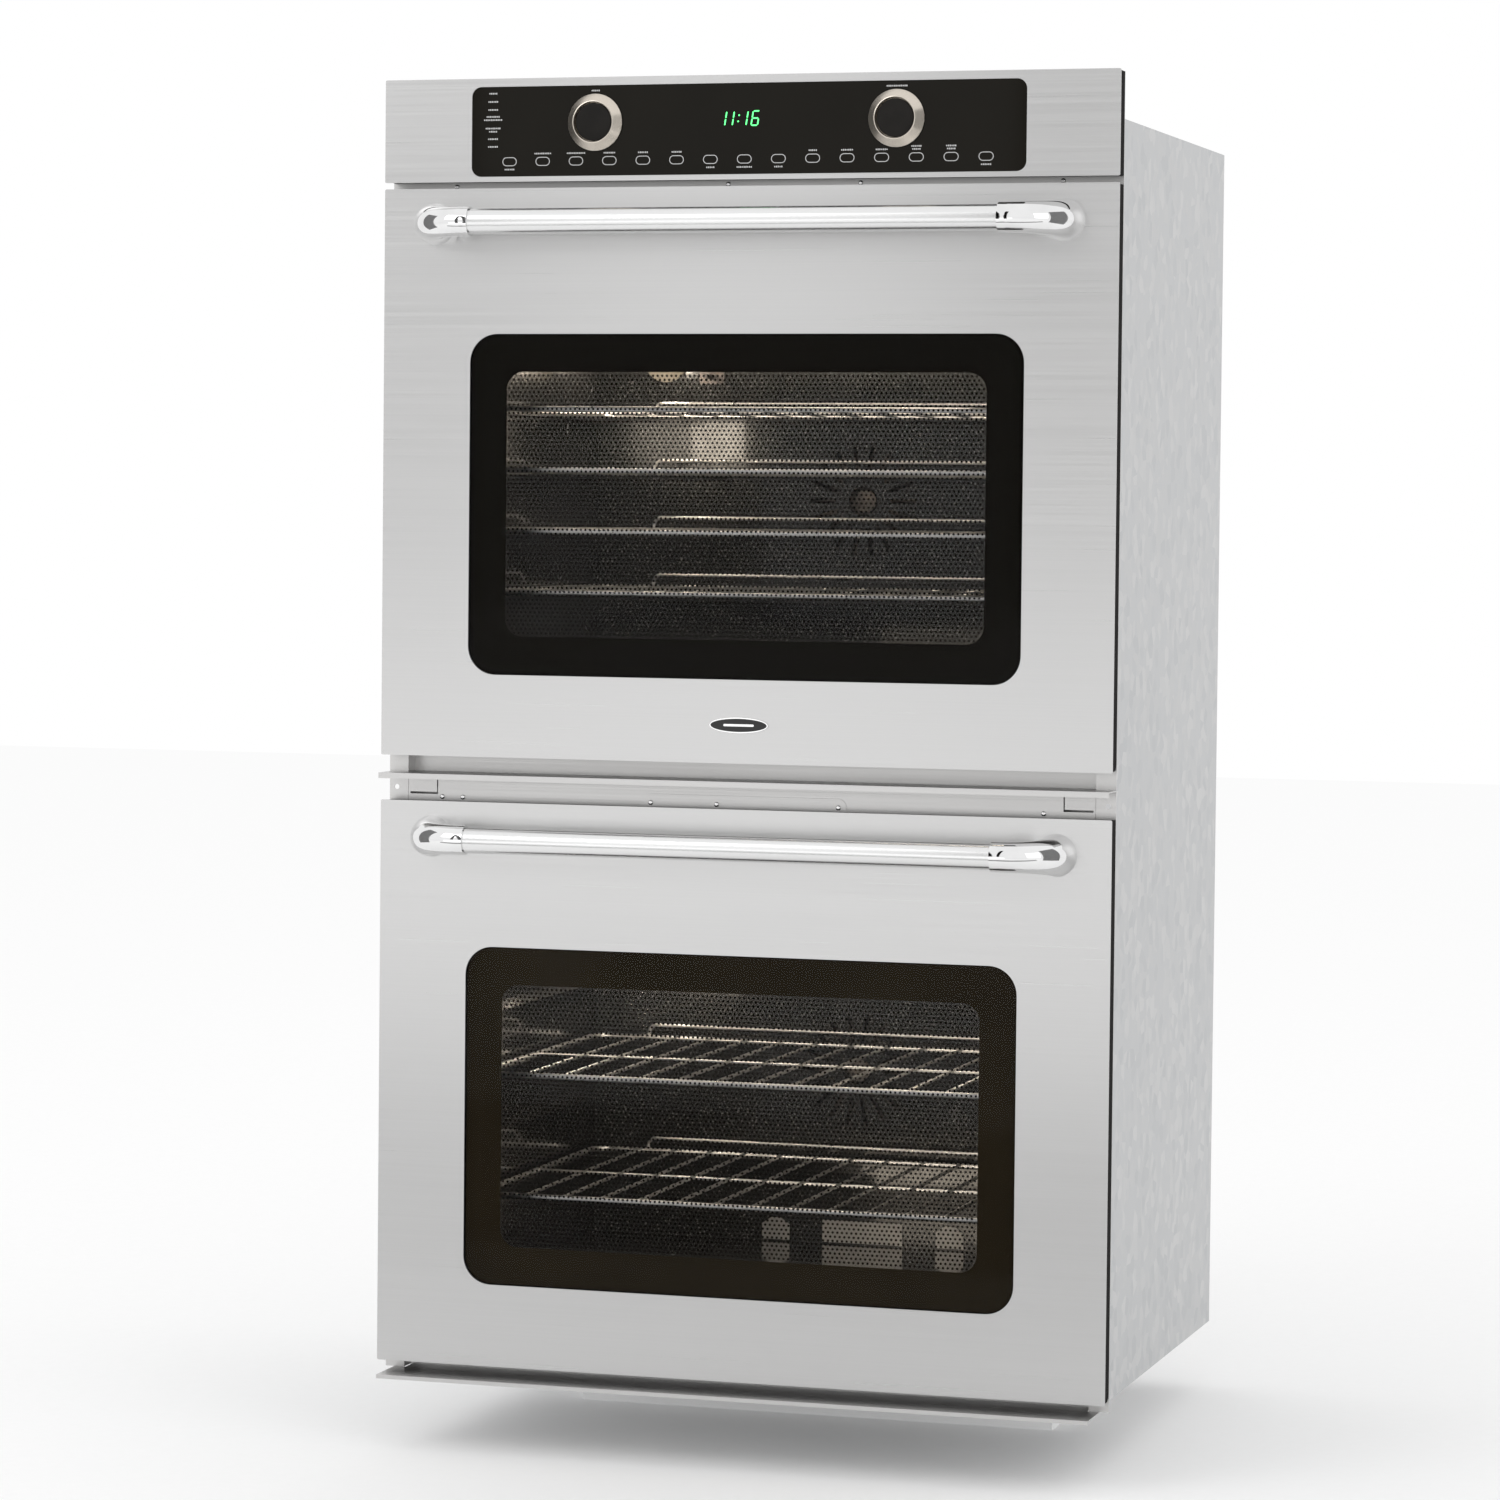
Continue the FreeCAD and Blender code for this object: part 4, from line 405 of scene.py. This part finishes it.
class Shape:
    """Closed solids gathered into one mesh."""

    def __init__(self):
        self.points = []
        self.faces = []

    def prism(self, outline, y0, y1):
        """An outline in X and Z, taken from depth y0 to y1."""
        first, count = len(self.points), len(outline)
        for y in (y0, y1):
            self.points += [(x, y, z) for x, z in outline]
        self.faces.append([first + k for k in range(count)])
        self.faces.append([first + count + k for k in reversed(range(count))])
        for k in range(count):
            n = (k + 1) % count
            self.faces.append([first + n, first + k, first + count + k,
                               first + count + n])

    def ring(self, outer, inner, y0, y1):
        """A band between two outlines with as many points, from y0 to y1."""
        first, count = len(self.points), len(outer)
        for outline in (outer, inner):
            for y in (y0, y1):
                self.points += [(x, y, z) for x, z in outline]
        a, b, c, d = (first + count * k for k in range(4))
        for k in range(count):
            n = (k + 1) % count
            self.faces.append([a + n, a + k, b + k, b + n])
            self.faces.append([c + k, c + n, d + n, d + k])
            self.faces.append([a + k, a + n, c + n, c + k])
            self.faces.append([b + n, b + k, d + k, d + n])

    def turned(self, centre, profile, segments):
        """A profile of (radius, y) pairs, from axis to axis, turned about Y."""
        x0, y0, z0 = centre
        rows = []
        for radius, y in profile:
            if radius == 0:
                rows.append([len(self.points)])
                self.points.append((x0, y0 + y, z0))
                continue
            rows.append([len(self.points) + k for k in range(segments)])
            for k in range(segments):
                a = 2 * math.pi * k / segments
                self.points.append((x0 + radius * math.cos(a), y0 + y,
                                    z0 + radius * math.sin(a)))
        for low, high in zip(rows, rows[1:]):
            for k in range(segments):
                n = (k + 1) % segments
                face = [low[k % len(low)], low[n % len(low)], high[n % len(high)],
                        high[k % len(high)]]
                self.faces.append([p for i, p in enumerate(face) if p not in face[:i]])

    def piece(self, name, body, finish, slot, smooth_angle=None, bevel=None):
        """Makes the object, has it ride its body and gives it its finish's material; slot is
        not used.
        """
        mesh = bpy.data.meshes.new(name)
        mesh.from_pydata(self.points, [], self.faces)
        mesh.update()
        made = bpy.data.objects.new(name, mesh)
        bpy.context.scene.collection.objects.link(made)
        mesh.materials.append(MATERIALS[finish])
        if bevel:
            edge = made.modifiers.new("edge", "BEVEL")
            edge.width = bevel
            edge.segments = 2
            edge.limit_method = "ANGLE"
        if smooth_angle:
            mesh.set_sharp_from_angle(angle=math.radians(smooth_angle))
            for polygon in mesh.polygons:
                polygon.use_smooth = True
        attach(made, body)
        return made


def rounded(x, z, half_x, half_z, radius, steps):
    """The outline of a rounded rectangle about a point."""
    outline = []
    corners = ((1, -1, -90), (1, 1, 0), (-1, 1, 90), (-1, -1, 180))
    for side, up, start in corners:
        for k in range(steps + 1):
            a = math.radians(start + 90 * k / steps)
            outline.append((x + side * (half_x - radius) + radius * math.cos(a),
                            z + up * (half_z - radius) + radius * math.sin(a)))
    return outline


# ----------------------------------------------------------------------------- windows

PRINT_THICK = 0.0002
BORDER_INSET = 0.0004
BORDER_CORNER = 0.0278
CORNER_STEPS = 12
CLEAR_HALF_X = 0.2475
CLEAR_HALF_Z = 0.1325
CLEAR_RISE = 0.0005
CLEAR_CORNER = 0.018
DOT_PITCH = 0.0048
DOT_RADIUS = 0.00132
DOT_SIDES = 6


def dots(x, z, y0, y1):
    """Rows of dots, every other row set over by half a pitch."""
    shape = Shape()
    row_pitch = DOT_PITCH * math.sqrt(3) / 2
    rows = int(CLEAR_HALF_Z / row_pitch)
    columns = int(CLEAR_HALF_X / DOT_PITCH)
    ring = [(math.cos(2 * math.pi * k / DOT_SIDES) * DOT_RADIUS,
             math.sin(2 * math.pi * k / DOT_SIDES) * DOT_RADIUS)
            for k in range(DOT_SIDES)]
    corner_x = CLEAR_HALF_X - CLEAR_CORNER
    corner_z = CLEAR_HALF_Z - CLEAR_CORNER
    for row in range(-rows, rows + 1):
        set_over = DOT_PITCH / 2 if row % 2 else 0.0
        for column in range(-columns, columns + 1):
            u, v = column * DOT_PITCH + set_over, row * row_pitch
            past = math.hypot(max(0, abs(u) - corner_x), max(0, abs(v) - corner_z))
            if past < CLEAR_CORNER - DOT_RADIUS:
                shape.prism([(x + u + a, z + v + b) for a, b in ring], y0, y1)
    return shape


def make_window(oven, frit):
    """The printed border and the dotted screen, both inside the CAD pane."""
    low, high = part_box(oven + "_window_glass")
    centre = (low + high) / 2
    rear = high.y - PRINT_THICK
    border = Shape()
    half_x, half_z = (high.x - low.x) / 2, (high.z - low.z) / 2
    clear_z = centre.z + CLEAR_RISE
    outer = rounded(centre.x, centre.z, half_x - BORDER_INSET, half_z - BORDER_INSET,
                    BORDER_CORNER, CORNER_STEPS)
    inner = rounded(centre.x, clear_z, CLEAR_HALF_X, CLEAR_HALF_Z, CLEAR_CORNER,
                    CORNER_STEPS)
    border.ring(outer, inner, rear - PRINT_THICK, rear)
    border.piece(oven + "_window_border", oven + "_door", frit, "window")
    pattern = dots(centre.x, clear_z, rear - PRINT_THICK, rear)
    pattern.piece(oven + "_window_dots", oven + "_door", "dots", "window")


# The lower door gets the border print's painted-light copy and the upper door its
# painted-shade copy.
for oven, frit in zip(OVENS, ("frit_painted_lit", "frit_painted_shade")):
    make_window(oven, frit)


# ------------------------------------------------------------------------ control panel

PANEL_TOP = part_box("control_fascia")[1].z
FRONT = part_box("control_glass")[0].y
INK = 0.00012
KEY_COUNT = 15
KEY_PITCH = 0.03503
KEY_DROP = 0.083
KEY_HALF = (0.0075, 0.0044)
KEY_LINE = 0.0007
KEY_ROUND = 0.98
LABEL_HEIGHT = 0.0017
LETTER = 0.0012
LETTER_SPACE = 0.0006
SHORT_LETTER = 0.82
LABEL_OFF_KEY = 0.0078
TWO_LINE_STEP = 0.0029
KNOB_LABEL_RISE = 0.0315
MODE_X = -0.263
# Letters in the words above and below the keys, by key from the left.
WORDS_ABOVE = {1: 10, 2: 11, 3: 7, 4: 6, 5: 6, 9: 5, 10: 7, 11: 7, 12: 5, 13: 5}
WORDS_BELOW = {0: 6, 6: 5, 7: 9, 8: 5, 14: 6}
TWO_LINES = (12, 13)
KNOB_WORDS = {"left_knob": 5, "right_knob": 12}
# The mode names at the left: the drop from the panel's top and the letters.
MODES = ((0.0150, 5), (0.0232, 6), (0.0312, 6), (0.0381, 8), (0.0413, 11),
         (0.0497, 9), (0.0529, 5), (0.0603, 6), (0.0680, 6))


def label(shape, x, z, letters):
    """A row of small blocks that stands for a printed word."""
    step = LETTER + LETTER_SPACE
    start = x - (letters - 1) * step / 2
    for k in range(letters):
        tall = LABEL_HEIGHT * (1.0 if k % 3 else SHORT_LETTER)
        outline = rounded(start + k * step, z, LETTER / 2, tall / 2, LETTER / 4, 1)
        shape.prism(outline, FRONT - INK, FRONT)


def key_outline(x, z, inset):
    half_x, half_z = KEY_HALF[0] - inset, KEY_HALF[1] - inset
    return rounded(x, z, half_x, half_z, half_z * KEY_ROUND, 6)


def make_controls():
    """The outlines of the touch keys, and the words about them and the knobs."""
    ink = Shape()
    key_z = PANEL_TOP - KEY_DROP
    for k in range(KEY_COUNT):
        x = (k - (KEY_COUNT - 1) / 2) * KEY_PITCH
        ink.ring(key_outline(x, key_z, 0), key_outline(x, key_z, KEY_LINE),
                 FRONT - INK, FRONT)
        if k in WORDS_ABOVE:
            label(ink, x, key_z + LABEL_OFF_KEY, WORDS_ABOVE[k])
        if k in WORDS_BELOW:
            label(ink, x, key_z - LABEL_OFF_KEY, WORDS_BELOW[k])
        if k in TWO_LINES:
            label(ink, x, key_z + LABEL_OFF_KEY + TWO_LINE_STEP, WORDS_ABOVE[k] + 1)
    for drop, letters in MODES:
        label(ink, MODE_X, PANEL_TOP - drop, letters)
    for knob, letters in KNOB_WORDS.items():
        label(ink, middle(knob).x, middle(knob).z + KNOB_LABEL_RISE, letters)
    ink.piece("control_print", "chassis", "print", "control_glass")


make_controls()

KNOB_DISC_DROP = 0.0034
KNOB_DISC_RADIUS = 0.0190
# The cap's profile: shares of its radius, and how far each stands out.
CAP_PROFILE = ((0, 0.0006), (0.5, 0.0007), (0.86, 0.0010), (0.95, 0.0009),
               (0.99, 0.0006), (1, 0.0), (0, 0.0))
CAP_SEGMENTS = 96


def make_knob_discs():
    """A black cap with a soft edge and a shallow dish, on each knob's centre disc."""
    for knob in ("left_knob", "right_knob"):
        disc_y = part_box(knob)[0].y + KNOB_DISC_DROP
        centre = (middle(knob).x, disc_y, middle(knob).z)
        cap = Shape()
        cap.turned(centre, [(share * KNOB_DISC_RADIUS, -out) for share, out in CAP_PROFILE],
                   CAP_SEGMENTS)
        cap.piece(knob + "_cap", knob, "knob_disc", "plastic", 40)


make_knob_discs()

DIGIT_WIDTH = 0.0066
DIGIT_HEIGHT = 0.0140
SEGMENT = 0.0013
SEGMENT_GAP = 0.0003
DIGIT_SLANT = 0.16
CLOCK_DROP = 0.043
CLOCK_X = -0.0030
# The lit segments of each digit, and where the digits stand from the clock's middle.
SEGMENTS = {"1": "bc", "6": "afgedc"}
TIME_SHOWN = (("1", -0.0198), ("1", -0.0120), ("1", 0.0022), ("6", 0.0140))
COLON_DOT = 0.0008
COLON_HALF_GAP = 0.003
COLON_X = -0.0032


def make_clock():
    """Slanted seven-segment digits and a colon."""
    shape = Shape()
    z = PANEL_TOP - CLOCK_DROP
    half_w, half_h, s = DIGIT_WIDTH / 2, DIGIT_HEIGHT / 2, SEGMENT / 2
    across = {"a": half_h, "g": 0.0, "d": -half_h}
    upright = {"f": (-half_w, 0.0, half_h), "b": (half_w, 0.0, half_h),
               "e": (-half_w, -half_h, 0.0), "c": (half_w, -half_h, 0.0)}

    def slab(outline, at):
        shape.prism([(at + u + v * DIGIT_SLANT, z + v) for u, v in outline],
                    FRONT - INK, FRONT)

    for digit, at in TIME_SHOWN:
        for name in SEGMENTS[digit]:
            if name in across:
                v, w = across[name], half_w - s - SEGMENT_GAP
                slab([(-w, v - s), (w, v - s), (w + s, v), (w, v + s), (-w, v + s),
                      (-w - s, v)], CLOCK_X + at)
            else:
                u, low, high = upright[name]
                low, high = low + s + SEGMENT_GAP, high - s - SEGMENT_GAP
                slab([(u, low - s), (u + s, low), (u + s, high), (u, high + s),
                      (u - s, high), (u - s, low)], CLOCK_X + at)
    for v in (-COLON_HALF_GAP, COLON_HALF_GAP):
        slab(rounded(0.0, v, COLON_DOT, COLON_DOT, COLON_DOT * 0.9, 3), CLOCK_X + COLON_X)
    shape.piece("clock_digits", "chassis", "digits", "control_glass")


make_clock()


# ------------------------------------------------------------------ badge and fasteners

BADGE_RIM = 0.0016
FIELD_DROP = 0.0007
BAR_DROP = 0.0002
BAR_BACK = 0.0009
OVAL_POINTS = 64


def oval(x, z, half_x, half_z):
    turns = [2 * math.pi * k / OVAL_POINTS for k in range(OVAL_POINTS)]
    return [(x + half_x * math.cos(a), z + half_z * math.sin(a)) for a in turns]


def make_badge():
    """A plain oval plate: a bright rim about a dark field with one raised bar."""
    low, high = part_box("door_badge")
    x, z = (low.x + high.x) / 2, (low.z + high.z) / 2
    half_x, half_z = (high.x - low.x) / 2, (high.z - low.z) / 2
    under_rim = BADGE_RIM * 0.8
    field = Shape()
    field.prism(oval(x, z, half_x - under_rim, half_z - under_rim),
                low.y + FIELD_DROP, high.y)
    plate = field.piece("badge_field", "upper_door", "black_paint", "chrome")
    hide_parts("door_badge")
    edge = Shape()
    edge.ring(oval(x, z, half_x, half_z),
              oval(x, z, half_x - BADGE_RIM, half_z - BADGE_RIM), low.y, high.y)
    bar = rounded(x, z, half_x * 0.52, half_z * 0.16, half_z * 0.15, 6)
    edge.prism(bar, low.y + BAR_DROP, low.y + BAR_BACK)
    edge.piece("badge_rim", "upper_door", "chrome", "chrome", 40, 0.0003)


# A domed head with a round dimple: shares of its radius and of its height.
HEAD_PROFILE = ((0, 0.62), (0.16, 0.62), (0.30, 0.96), (0.55, 1), (0.82, 0.80),
                (0.97, 0.42), (1, 0.12), (1, 0), (0, 0))
HEAD_SEGMENTS = 24
# Vertices that agree to this many decimals of a metre are one point.
SAME_PLACE = 5


def solids_of(node):
    """The low and high corners of each separate solid in a node, from the left."""
    mesh = frame["nodes"][node].data
    parent = list(range(len(mesh.vertices)))

    def root(k):
        while parent[k] != k:
            parent[k] = parent[parent[k]]
            k = parent[k]
        return k

    seen = {}
    for vertex in mesh.vertices:
        key = tuple(round(c, SAME_PLACE) for c in vertex.co)
        if key in seen:
            parent[root(vertex.index)] = root(seen[key])
        seen[key] = vertex.index
    for edge in mesh.edges:
        parent[root(edge.vertices[0])] = root(edge.vertices[1])
    groups = {}
    for vertex in mesh.vertices:
        groups.setdefault(root(vertex.index), []).append(vertex.co)
    found = []
    for points in groups.values():
        low = Vector(min(p[k] for p in points) for k in range(3))
        high = Vector(max(p[k] for p in points) for k in range(3))
        found.append((low, high))
    return sorted(found, key=lambda pair: tuple(pair[0]))


def make_screws():
    heads = Shape()
    for low, high in solids_of("trim_screws"):
        centre, height = (low + high) / 2, high.y - low.y
        radius = (high.x - low.x) / 2
        profile = [(share * radius, -out * height) for share, out in HEAD_PROFILE]
        heads.turned((centre.x, high.y, centre.z), profile, HEAD_SEGMENTS)
    made = heads.piece("screw_heads", "chassis", "chrome", "stainless", 35)
    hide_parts("trim_screws")


make_badge()
make_screws()


# ------------------------------------------------------------------ lamps in the ovens

LAMP_COLOUR = (1.0, 0.87, 0.70)
LAMP_WATTS = 0.35
LAMP_RADIUS = 0.012
LAMP_OUT = 0.07
FILL_WATTS = 0.7
GLINT_WATTS = {"lower": 0.06, "upper": 0.20}
BASE_WATTS = {"lower": 0.25, "upper": 0.04}


def lamp_lights():
    """A small light just in front of each lamp's lens."""
    for low, high in solids_of("oven_lamps"):
        data = bpy.data.lights.new("oven_lamp", "POINT")
        data.energy = LAMP_WATTS
        data.color = LAMP_COLOUR
        data.shadow_soft_size = LAMP_RADIUS
        lamp = bpy.data.objects.new("oven_lamp", data)
        lamp.location = ((low.x + high.x) / 2, low.y - LAMP_OUT, (low.z + high.z) / 2)
        bpy.context.scene.collection.objects.link(lamp)


def cavity_lights(oven):
    """Soft light under the roof, a glint at the left wall and a wash over the floor."""
    low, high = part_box(oven + "_cavity")
    centre = (low + high) / 2
    lights = (
        area_light("oven_fill", (centre.x - 0.04, low.y + 0.05, high.z - 0.025),
                   (centre.x, high.y, centre.z - 0.1),
                   width=0.46, height=0.04, watts=FILL_WATTS),
        area_light("oven_glint", (low.x + 0.04, low.y + 0.10, high.z - 0.15),
                   (low.x + 0.11, high.y, centre.z),
                   width=0.08, height=0.05, watts=GLINT_WATTS[oven]),
        area_light("oven_base_fill", (centre.x + 0.10, low.y + 0.07, low.z + 0.035),
                   (centre.x + 0.16, high.y, low.z + 0.06),
                   width=0.36, height=0.03, watts=BASE_WATTS[oven]))
    for glow in lights:
        glow.data.color = LAMP_COLOUR
        glow.visible_camera = False


# ---------------------------------------------------------------- floor, light and camera

PLINTH_HEIGHT = 0.07
PLINTH_SIDE = 0.10
PLINTH_FRONT = 0.02
PLINTH_GAP = 0.0002
FLOOR_HALF = 12.0
FLOOR_THICK = 0.02
FLOOR_GLOW = 0.06
# Studio lights: place, the point each faces, width, height and watts.
STUDIO_LIGHTS = {
    "key": ((-2.2, -3.4, 3.0), (0, -0.2, 0.7), 2.0, 2.0, 22),
    "fill": ((3.0, -2.6, 1.6), (0, -0.2, 0.6), 1.6, 2.2, 8),
    "low_fill": ((-1.2, -3.8, 0.2), (0, -0.27, 0.5), 3.0, 1.0, 3.6),
}
# Cards that only reflections see: place, the point each faces, width, height and grey level.
CARDS = {
    "right_card": ((-0.01, -1.75, 1.44), (0.30, -0.32, 1.1), 0.13, 1.5, 0.005),
    "left_card": ((-0.90, -1.75, 1.44), (-0.33, -0.32, 1.1), 0.14, 1.5, 0.1),
    "low_flag": ((0.1, -1.5, -0.06), (0, -0.3, 0.9), 3.6, 0.4, 0.35),
    "right_flag": ((2.2, -0.5, 1.0), (0.3, -0.3, 0.9), 1.2, 2.6, 0.22),
    "left_flag": ((-2.2, -0.5, 1.0), (-0.3, -0.3, 0.9), 1.0, 2.6, 0.22),
}


def stage_box(name, low, high, material):
    shape = Shape()
    outline = [(low[0], low[2]), (high[0], low[2]), (high[0], high[2]), (low[0], high[2])]
    shape.prism(outline, low[1], high[1])
    mesh = bpy.data.meshes.new(name)
    mesh.from_pydata(shape.points, [], shape.faces)
    mesh.materials.append(material)
    made = bpy.data.objects.new(name, mesh)
    bpy.context.scene.collection.objects.link(made)


def make_stage():
    """A pale floor, and the low block that the oven stands on so its door can open."""
    pale = Finish("pale_floor", Roughness=0.9)
    pale.specular(0.0)
    pale.glow(WHITE, FLOOR_GLOW)
    pale.colours(pale.noise(90), (0.3, grey(0.90)), (0.7, grey(0.91)))
    stage_box("floor", (-FLOOR_HALF, -FLOOR_HALF, -PLINTH_HEIGHT - FLOOR_THICK),
              (FLOOR_HALF, FLOOR_HALF, -PLINTH_HEIGHT), pale.material)
    low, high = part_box("base_pan")
    stage_box("plinth", (low.x + PLINTH_SIDE, PLINTH_FRONT, -PLINTH_HEIGHT),
              (high.x - PLINTH_SIDE, high.y - PLINTH_SIDE, -PLINTH_GAP), pale.material)


def aimed(name, data, place, target):
    """An object at a place, with its -Z towards the target."""
    made = bpy.data.objects.new(name, data)
    made.location = place
    made.rotation_mode = "QUATERNION"
    made.rotation_quaternion = (Vector(target) - Vector(place)).to_track_quat("-Z", "Y")
    bpy.context.scene.collection.objects.link(made)
    return made


def area_light(name, place, target, width, height, watts):
    data = bpy.data.lights.new(name, "AREA")
    data.shape = "RECTANGLE"
    data.size = width
    data.size_y = height
    data.energy = watts
    return aimed(name, data, place, target)


def card(name, place, target, width, height, level):
    dark = Finish(name + "_dark", Roughness=1.0)
    dark.specular(0.0)
    dark.colours(dark.noise(3), (0.3, grey(level * 0.9)), (0.7, grey(level)))
    mesh = bpy.data.meshes.new(name)
    w, h = width / 2, height / 2
    mesh.from_pydata([(-w, -h, 0), (w, -h, 0), (w, h, 0), (-w, h, 0)], [], [(0, 1, 2, 3)])
    mesh.materials.append(dark.material)
    made = aimed(name, mesh, place, target)
    made.visible_camera = False
    made.visible_diffuse = False
    made.visible_shadow = False
    made.visible_transmission = False


def make_light():
    world = bpy.data.worlds.new("studio")
    world.use_nodes = True
    background = world.node_tree.nodes["Background"]
    background.inputs["Color"].default_value = (*WHITE, 1)
    background.inputs["Strength"].default_value = 1.0
    bpy.context.scene.world = world
    for name, setting in STUDIO_LIGHTS.items():
        area_light(name, *setting)
    for name, setting in CARDS.items():
        card(name, *setting)
    lamp_lights()
    for oven in OVENS:
        cavity_lights(oven)


CAMERA_PLACE = (1.390, -4.827, 0.889)
CAMERA_YAW = 16.852
CAMERA_PITCH = -2.052
CAMERA_ROLL = 0.559
CAMERA_LENS = 115.65
CAMERA_SENSOR = 36.0
CAMERA_SHIFT = -0.05


def make_camera():
    data = bpy.data.cameras.new("camera")
    data.sensor_width = CAMERA_SENSOR
    data.lens = CAMERA_LENS
    data.shift_y = CAMERA_SHIFT
    camera = bpy.data.objects.new("camera", data)
    camera.location = CAMERA_PLACE
    camera.rotation_mode = "QUATERNION"
    level = Euler((math.radians(90 + CAMERA_PITCH), 0, math.radians(CAMERA_YAW)))
    roll = Quaternion((0, 0, 1), math.radians(CAMERA_ROLL))
    camera.rotation_quaternion = level.to_quaternion() @ roll
    bpy.context.scene.collection.objects.link(camera)
    bpy.context.scene.camera = camera


make_stage()
make_light()
make_camera()
bpy.context.scene.view_settings.view_transform = "Standard"
